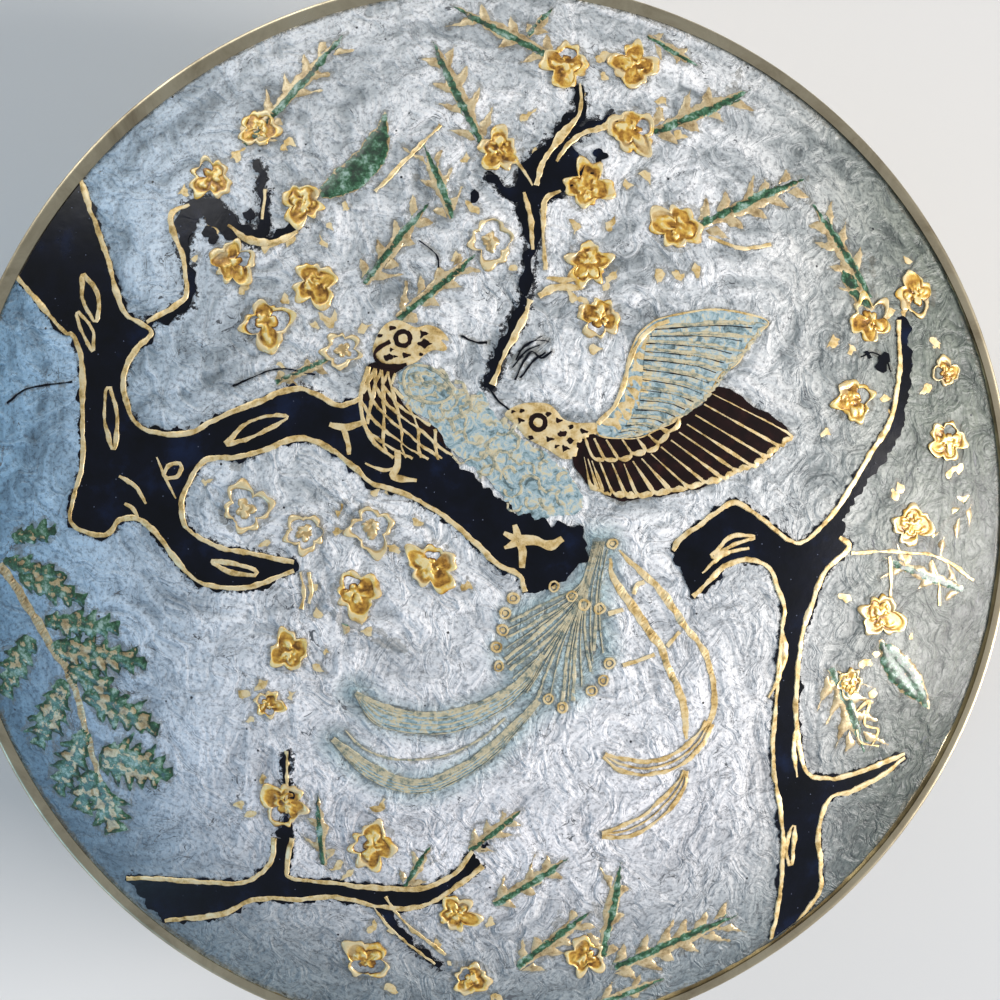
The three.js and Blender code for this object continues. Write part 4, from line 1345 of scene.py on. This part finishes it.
for i in range(FINE_LINES):
    a = along_line(RAISED_MIDDLE, i / (FINE_LINES - 1))
    b = along_line(RAISED_TIPS, i / (FINE_LINES - 1))
    shell, width = ((washed_lines, 0.35), (bird_turquoise, 0.4), (bird_brown, 0.12))[i % 3]
    line = smooth([a.lerp(b, -0.15), a.lerp(b, 0.5) + Vector((0, 0.5)), a.lerp(b, 0.9)], LINE_STEP)
    lay_ridge(shell, line, on_lid, width, top=LINE_TOP - 0.06, wander=0.8)
for pair in zip(FAN_LINES, FAN_LINES[1:]):
    for share in (0.0, 0.5):
        mixed = [Vector(a).lerp(Vector(b), share) for a, b in zip(*pair)]
        thick = FAN_BETWEEN if share else FAN_QUILL
        widths = [(FAN_START + thick * i / len(mixed)) / UNIT for i in range(len(mixed))]
        tapered = [(point.x, point.y, width) for point, width in zip(mixed, widths)]
        line = smooth(tapered, LINE_STEP)
        lay_ridge(washed_lines, line, on_lid, width=0.3, top=LINE_TOP - 0.09, wander=0.7)
        wash_places.extend(point.xy for point in line[::4])
for x, y in FAN_DOTS:
    dot = ragged(circle(x, y, 0.9), 0.08, grain_mm=0.6, step=0.25)
    lay_ridge(bird_lines, evened(dot, 0.25), on_lid, width=0.28, top=LINE_TOP - 0.03, closed=True)
    heart = [place.lerp(Vector((x, y)) * UNIT, 0.5) for place in dot]
    lay_pillow(bird_plates, [heart], on_lid, LINE_TOP - 0.04, round_mm=0.15)
for bar in BARS:
    lay_pillow(bird_plates, strip(bar, rough=0.1), on_lid, LINE_TOP - 0.04, round_mm=0.15, rough=0.5)
    lines_drawn.extend(smooth(bar, 0.6))
    flow_lines.extend(smooth(bar, 0.6))
for place, plume in enumerate(PLUMES):
    line = smooth(plume, LINE_STEP)
    washed = place < WASHED_PLUMES
    if washed:
        lay_cell(bird_turquoise, strip(plume, spread=-0.1, rough=0.1), on_lid, GROUND_TOP + 0.04)
        wash_places.extend(point.xy for point in line[::3])
    for share in WASHED_QUILLS if washed else BARE_QUILLS:
        side, _ = sides_of(line, lambda point: PLUME_REACH + point.z / 2 * share)
        middle, _ = sides_of(line, lambda point: PLUME_REACH)
        path = [point.xy + a - b for point, a, b in zip(line, side, middle)]
        if washed:
            width = 0.26 - 0.14 * share
            lay_ridge(washed_lines, path, on_lid, width, top=LINE_TOP - 0.08, wander=0.6)
        else:
            width = 0.55 if share else 0.26
            lay_ridge(bird_lines, path, on_lid, width, top=LINE_TOP - 0.04, wander=0.6)
    flow_lines.extend(line)
lay_ridge(washed_lines, smooth(PLUME_QUILL, LINE_STEP), on_lid, width=0.4, top=LINE_TOP - 0.08)
for bar in CROSS_BARS:
    lay_ridge(bird_lines, smooth(bar, LINE_STEP), on_lid, width=0.5, top=LINE_TOP - 0.05)
add_piece("bird_plates", *bird_plates, line_finish, "relief_brass", smooth_angle=50)
add_piece("bird_lines", *bird_lines, line_finish, "relief_brass")
add_piece("washed_lines", *washed_lines, washed_brass(), "relief_brass")
add_piece("bird_brown_enamel", *bird_brown, brown_enamel(), "relief_brass")
add_piece("bird_turquoise_enamel", *bird_turquoise, turquoise_enamel(), "relief_brass")

# The grey ground
# Silver-grey enamel full of mica, brushed on wet round the figures and fired. It lies in streaks that
# follow them, with dark hairlines and a fine sparkling grain, and creeps up the lines with a dark edge,
# part dirt and part painted shade. A painted sheen, painted shade and a painted reflection drift over it.

GROUND_RINGS = 170
GROUND_SIDES = 420
GROUND_WAVE_MM = 5.0
GROUND_RIPPLE_MM = 1.3
GROUND_SUNK = 0.05
WAVE_LIFT = 0.03
RIPPLE_LIFT = 0.02
CREEP_LIFT = 0.04
CREEP_MM = 0.5
# Distances from the marks are counted up to here
EDGE_REACH = 40.0
CREASE_LEVEL = 0.455
CREASE_FULL = 0.66
SWIRL_PUSH_MM = 18
STREAK_MM = 13
# How far each place is from the figures' edges, the black, the lines and the turquoise wash
MARKS = ("flow_near", "ink_near", "line_near", "wash_near")


def pearl_enamel():
    """Grey enamel with mica: brush streaks of light and dark, thin dark creases, fine grain, half gloss, with
    painted sheen, shade and reflection.
    """
    made, tree, shader = blank_material("silver-grey enamel with mica")
    spot = node(tree, "TexCoord").outputs["Object"]
    axes = node(tree, "SeparateXYZ", {0: spot})
    near = {name: node(tree, "Attribute", attribute_name=name).outputs["Fac"] for name in MARKS}
    # Patterns over the plain surface: size in mm, detail and roughness
    grains = {}
    for name, size, detail, rough in (("swirl", 9, 2.0, 0.55), ("waver", 10, 1.5, 0.55),
                                      ("patch", 4, 3.0, 0.55), ("mica", 0.45, 2.0, 0.7),
                                      ("edge", 1.0, 6.0, 0.8)):
        grains[name] = node(tree, "TexNoise", {"Vector": spot, "Scale": 1 / (size * MM), "Detail": detail,
                                               "Roughness": rough})

    def creases(source, low, width):
        """Thin lines where a pattern crosses a level, in the patches that are above low."""
        off = node(tree, "Math", {0: source, 1: CREASE_LEVEL}, operation="SUBTRACT")
        off = node(tree, "Math", {0: off}, operation="ABSOLUTE")
        reach = node(tree, "MapRange", {0: grains["patch"], 1: low, 2: CREASE_FULL, 3: 0.0, 4: width})
        return node(tree, "Math", {0: reach, 1: off}, operation="GREATER_THAN")

    # Clouds, bent by a slow swirl
    swirl = grains["swirl"].outputs["Color"]
    centred = node(tree, "VectorMath", {0: swirl, 1: (0.5, 0.5, 0.5)}, operation="SUBTRACT")
    push = node(tree, "VectorMath", {0: centred, "Scale": SWIRL_PUSH_MM * MM}, operation="SCALE")
    bent = node(tree, "VectorMath", {0: spot, 1: push}, operation="ADD")
    broad = node(tree, "TexNoise", {"Vector": bent, "Scale": 1 / (8 * MM), "Detail": 3.0, "Roughness": 0.55})
    medium = node(tree, "TexNoise", {"Vector": bent, "Scale": 1 / (3.2 * MM), "Detail": 4.0,
                                     "Roughness": 0.54, "Distortion": 0.7})

    # Brush streaks: fast across the figures' edges and slow along them
    wavered = node(tree, "Math", {0: grains["waver"], 1: 2.6}, operation="MULTIPLY")
    along_edge = node(tree, "Math", {0: near["flow_near"], 1: 0.46, 2: wavered}, operation="MULTIPLY_ADD")
    slow_x = node(tree, "Math", {0: axes.outputs["X"], 1: 1 / (STREAK_MM * MM)}, operation="MULTIPLY")
    slow_y = node(tree, "Math", {0: axes.outputs["Y"], 1: 1 / (STREAK_MM * MM)}, operation="MULTIPLY")
    streak_place = node(tree, "CombineXYZ", {0: along_edge, 1: slow_x, 2: slow_y})
    streak = node(tree, "TexNoise", {"Vector": streak_place, "Scale": 1.0, "Detail": 3.0, "Roughness": 0.46})
    brushed = node(tree, "Mix", {0: 0.48, 2: medium, 3: streak}, data_type="FLOAT")
    both = node(tree, "Mix", {0: 0.3, 2: brushed, 3: broad}, data_type="FLOAT")
    tone = node(tree, "ValToRGB", {0: both},
                [(0.36, "7f8688"), (0.43, "adb3b5"), (0.49, "d2d6d7"), (0.54, "eaecec"), (0.61, "fdfdfc")])

    # The tone drifts over the lid: bluer at the left, partly a painted reflection of the window; darker and
    # greyer at the right; lighter at the lower middle, a painted sheen; and darker towards the edge, a
    # painted shade
    # Bluer at the left: partly the enamel's tone, partly a painted reflection of the cool window there
    left_blue_and_reflection = node(tree, "MapRange", {0: axes.outputs["X"], 1: -20 * MM, 2: -62 * MM},
                   interpolation_type="SMOOTHSTEP")
    to_right = node(tree, "MapRange", {0: axes.outputs["X"], 1: 22 * MM, 2: 54 * MM},
                    interpolation_type="SMOOTHSTEP")
    # Painted sheen: the lower middle of the field is mixed towards near white
    painted_low_sheen = node(tree, "MapRange", {0: axes.outputs["Y"], 1: 5 * MM, 2: -35 * MM, 4: 0.45})
    # Painted shade: the field darkens towards its edge, most at its lower side
    flat_spot = node(tree, "CombineXYZ", {0: axes.outputs["X"], 1: axes.outputs["Y"]})
    away = node(tree, "VectorMath", {0: flat_spot, 1: (0, 14 * MM, 0)}, operation="DISTANCE")
    edge_shade_share = node(tree, "MapRange", {0: away.outputs["Value"], 1: 50 * MM, 2: 76 * MM},
                   interpolation_type="SMOOTHSTEP")
    wash_share = node(tree, "MapRange", {0: near["wash_near"], 1: 3.0, 2: 0.5, 3: 0.0, 4: 0.85})
    sparkle = node(tree, "ValToRGB", {0: grains["mica"]},
                   [(0.34, "b9babc"), (0.46, "ececed"), (0.6, "ffffff")])

    # Dark creases and specks, the black that crept out beside the branches, and a dark edge beside the lines
    # that is part dirt and part painted shade
    folds = creases(medium, 0.5, 0.006)
    hairs = creases(streak, 0.52, 0.004)
    specks = node(tree, "TexVoronoi", {"Vector": spot, "Scale": 1 / (3.5 * MM)})
    speck_mask = node(tree, "Math", {0: specks.outputs["Distance"], 1: 0.045}, operation="LESS_THAN")
    # The dark edge at the foot of the lines and round the rim: part dirt, part painted shade
    line_reach = node(tree, "MapRange", {0: grains["edge"], 1: 0.42, 2: 0.7, 3: 0.1, 4: 0.8})
    line_mask = node(tree, "Math", {0: line_reach, 1: near["line_near"]}, operation="GREATER_THAN")
    line_dirt_and_shade = node(tree, "Math", {0: line_mask, 1: 0.5}, operation="MULTIPLY")
    ink_reach = node(tree, "MapRange", {0: grains["edge"], 1: 0.46, 2: 0.72, 3: 0.1, 4: 1.3})
    ink_mask = node(tree, "Math", {0: ink_reach, 1: near["ink_near"]}, operation="GREATER_THAN")

    # Laid over the tone one after another: share, colour and way
    layers = [(painted_low_sheen, "f8f5f8", "MIX"), (left_blue_and_reflection, "a6d0ee", "MULTIPLY"), (to_right, "92988b", "MULTIPLY"),
              (edge_shade_share, "919c9e", "MULTIPLY"), (wash_share, "aac6c8", "MULTIPLY"), (1.0, sparkle, "MULTIPLY"),
              (folds, "585c60", "MIX"), (hairs, "62666a", "MIX"), (speck_mask, "22242a", "MIX"),
              (line_dirt_and_shade, "6a6658", "MIX"), (ink_mask, "14171f", "MIX")]
    tinted = tone
    for share, colour, way in layers:
        over = linear(colour) if isinstance(colour, str) else colour
        laid = node(tree, "Mix", {0: share, 6: tinted, 7: over}, data_type="RGBA", blend_type=way)
        tinted = laid.outputs[2]
    creased = node(tree, "Math", {0: folds, 1: hairs}, operation="ADD")
    cut = node(tree, "Math", {0: creased, 1: -0.03, 2: brushed}, operation="MULTIPLY_ADD")
    bump = node(tree, "Bump", {"Height": cut, "Strength": 1.0, "Distance": 1.7 * MM})
    connect(tree, shader, {"Base Color": tinted, "Normal": bump, "Roughness": 0.45, "Coat Weight": 0.16,
                           "Coat Roughness": 0.15})
    return made


def ground_height(x, y, line_distance):
    """Height of the grey enamel over the brass: slow waves, brush ripple, and a lift beside the lines."""
    wave = noise.noise(Vector((x, y, 0)) / GROUND_WAVE_MM)
    ripple = noise.noise(Vector((x, y, 9)) / GROUND_RIPPLE_MM)
    lift = CREEP_LIFT * math.exp(-line_distance / CREEP_MM)
    return GROUND_TOP - GROUND_SUNK + WAVE_LIFT * wave + RIPPLE_LIFT * ripple + lift


rim_line = circle(0, 0, FIELD_R, sides=400, unit=1)
lines_drawn.extend(rim_line)
flow_lines.extend(rim_line)
trees = dict(zip(MARKS, map(nearness, (flow_lines, ink_border, lines_drawn, wash_places))))
ground = ([], [])
distances = {name: [] for name in trees}
for ring in range(GROUND_RINGS + 1):
    r = FIELD_R * ring / GROUND_RINGS
    for side in range(GROUND_SIDES):
        angle = 2 * math.pi * side / GROUND_SIDES
        reach = r + band_drift(FIELD_R, angle) * (ring / GROUND_RINGS) ** 8
        x = reach * math.cos(angle)
        y = reach * math.sin(angle)
        for name, tree in trees.items():
            distances[name].append(min(tree.find((x, y, 0))[2], EDGE_REACH))
        height = ground_height(x, y, distances["line_near"][-1])
        ground[0].append(Vector((x, y, dome_z(reach) + height)) * MM)
rings = [range(first, first + GROUND_SIDES) for first in range(0, len(ground[0]), GROUND_SIDES)]
ground[1].extend(ring_faces(rings, widening=True))
grey_finish = pearl_enamel()
add_piece("ground_enamel", *ground, grey_finish, "relief_brass", smooth_angle=80, marks=distances)

# The base's enamel
# The bowl's side carries a band of the same grey enamel. Seven like sprigs of blossom stand round it,
# in the same lines and colours as on the lid but plainer.

SPRIGS = 7
ROUND_THE_SIDE = 2 * math.pi * BODY_R
SPRIG_PITCH = ROUND_THE_SIDE / SPRIGS
SPRIG_LINE = 0.5
SIDE_GAP = 1.3
SIDE_ROWS = 34
SIDE_COLUMNS = 60
NO_WASH = 99.0
# One sprig in mm from the start of its pitch and up from the foot
SPRIG_INK = [[(0, 4, 3.4), (9, 8, 3), (18, 11, 2.4), (27, 17, 1.8), (38, 19, 0.8)],
             [(18, 11, 2), (21, 18, 1.2), (23, 25, 0.6)], [(9, 8, 1.6), (10, 12, 1), (10, 15, 0.5)]]
SPRIG_BLOSSOMS = [(24, 27, 3.1), (40, 20, 3.1), (10, 17, 2.8), (31, 11, 2.6)]
SPRIG_SPRAYS = [
    ((42, 16), (50, 9), 2.4, 3), ((28, 27), (39, 29), 2.4, 3), ((8, 20), (2, 27), 2.2, 2),
    ((23, 9), (30, 4), 2.0, 2),
]

side_steps = [0.0]
for (r, z), (next_r, next_z) in zip(outer_side, outer_side[1:]):
    side_steps.append(side_steps[-1] + math.hypot(next_r - r, next_z - z))


def on_side(x, y, height):
    """A place on the bowl's side: x mm round it and y mm up along it, at a height over the brass."""
    step = max(i for i, length in enumerate(side_steps[:-1]) if length <= max(y, 0))
    (r, z), (next_r, next_z) = outer_side[step:step + 2]
    span = side_steps[step + 1] - side_steps[step]
    lean = (next_r - r) / span
    rise = (next_z - z) / span
    r += lean * (y - side_steps[step]) + rise * height
    z += rise * (y - side_steps[step]) - lean * height
    return Vector((r * math.cos(x / BODY_R), r * math.sin(x / BODY_R), z)) * MM


side_ink = ([], [])
side_lines = ([], [])
side_blossoms = ([], [])
side_marks = {"hollow": [], "amber": []}
side_leaves = ([], [])
side_greens = []
side_drawn = {"ink_near": [], "line_near": []}
for sprig in range(SPRIGS):
    shift = sprig * SPRIG_PITCH
    strokes = [[(x + shift, y, width) for x, y, width in points] for points in SPRIG_INK]
    parts = [part for points in strokes for part in strip(points, spread=0.1, rough=0.3, unit=1)]
    lay_cell(side_ink, parts, on_side, INK_TOP)
    for points in strokes:
        for edge in sides_of(smooth(points, LINE_STEP, unit=1), lambda point: point.z / 2):
            lay_ridge(side_lines, edge, on_side, SPRIG_LINE)
            side_drawn["ink_near"] += edge
    for x, y, size in SPRIG_BLOSSOMS:
        lay_blossom(side_blossoms, side_marks, x + shift, y, size, 5, FULL_AMBER, on_side, unit=1)
        side_drawn["line_near"] += circle(x + shift, y, size * BLOSSOM_EDGE, sides=30, unit=1)
    for (x, y), (tip_x, tip_y), half_width, pairs in SPRIG_SPRAYS:
        foot = (x + shift, y)
        tip = (tip_x + shift, tip_y)
        outlines = spear(foot, tip, half_width, pairs, unit=1)
        lay_leaf(side_leaves, side_greens, outlines, foot, tip, half_width, on_side,
                 lambda offset, height: 0.98 - abs(offset) / 0.3, unit=1)
        side_drawn["line_near"] += [point for outline in outlines for point in outline]
side_drawn["line_near"] += side_drawn["ink_near"]
for places in side_drawn.values():
    places += [place + Vector((ROUND_THE_SIDE * way, 0)) for place in places[:] for way in (-1, 1)]
side_trees = {name: nearness(places) for name, places in side_drawn.items()}
side_trees["flow_near"] = side_trees["line_near"]
side_distances = {name: [] for name in trees}
side_ground = ([], [])
side_columns = SPRIGS * SIDE_COLUMNS
for row in range(SIDE_ROWS + 1):
    y = SIDE_GAP + (side_steps[-1] - 2 * SIDE_GAP) * row / SIDE_ROWS
    for column in range(side_columns):
        x = SPRIG_PITCH * column / SIDE_COLUMNS
        for name, values in side_distances.items():
            values.append(side_trees[name].find((x, y, 0))[2] if name in side_trees else NO_WASH)
        height = ground_height(x, y, side_distances["line_near"][-1]) if 0 < row < SIDE_ROWS else 0
        side_ground[0].append(on_side(x, y, height))
rings = [range(first, first + side_columns) for first in range(0, len(side_ground[0]), side_columns)]
side_ground[1].extend(ring_faces(rings))
add_piece("side_branch_enamel", *side_ink, ink_finish, "brass")
add_piece("side_lines", *side_lines, line_finish, "brass")
add_piece("side_blossoms", *side_blossoms, amber_finish, "brass", smooth_angle=60, marks=side_marks)
add_piece("side_leaves", *side_leaves, green_finish, "brass", smooth_angle=60, marks={"green": side_greens})
add_piece("side_enamel", *side_ground, grey_finish, "brass", smooth_angle=80, marks=side_distances)
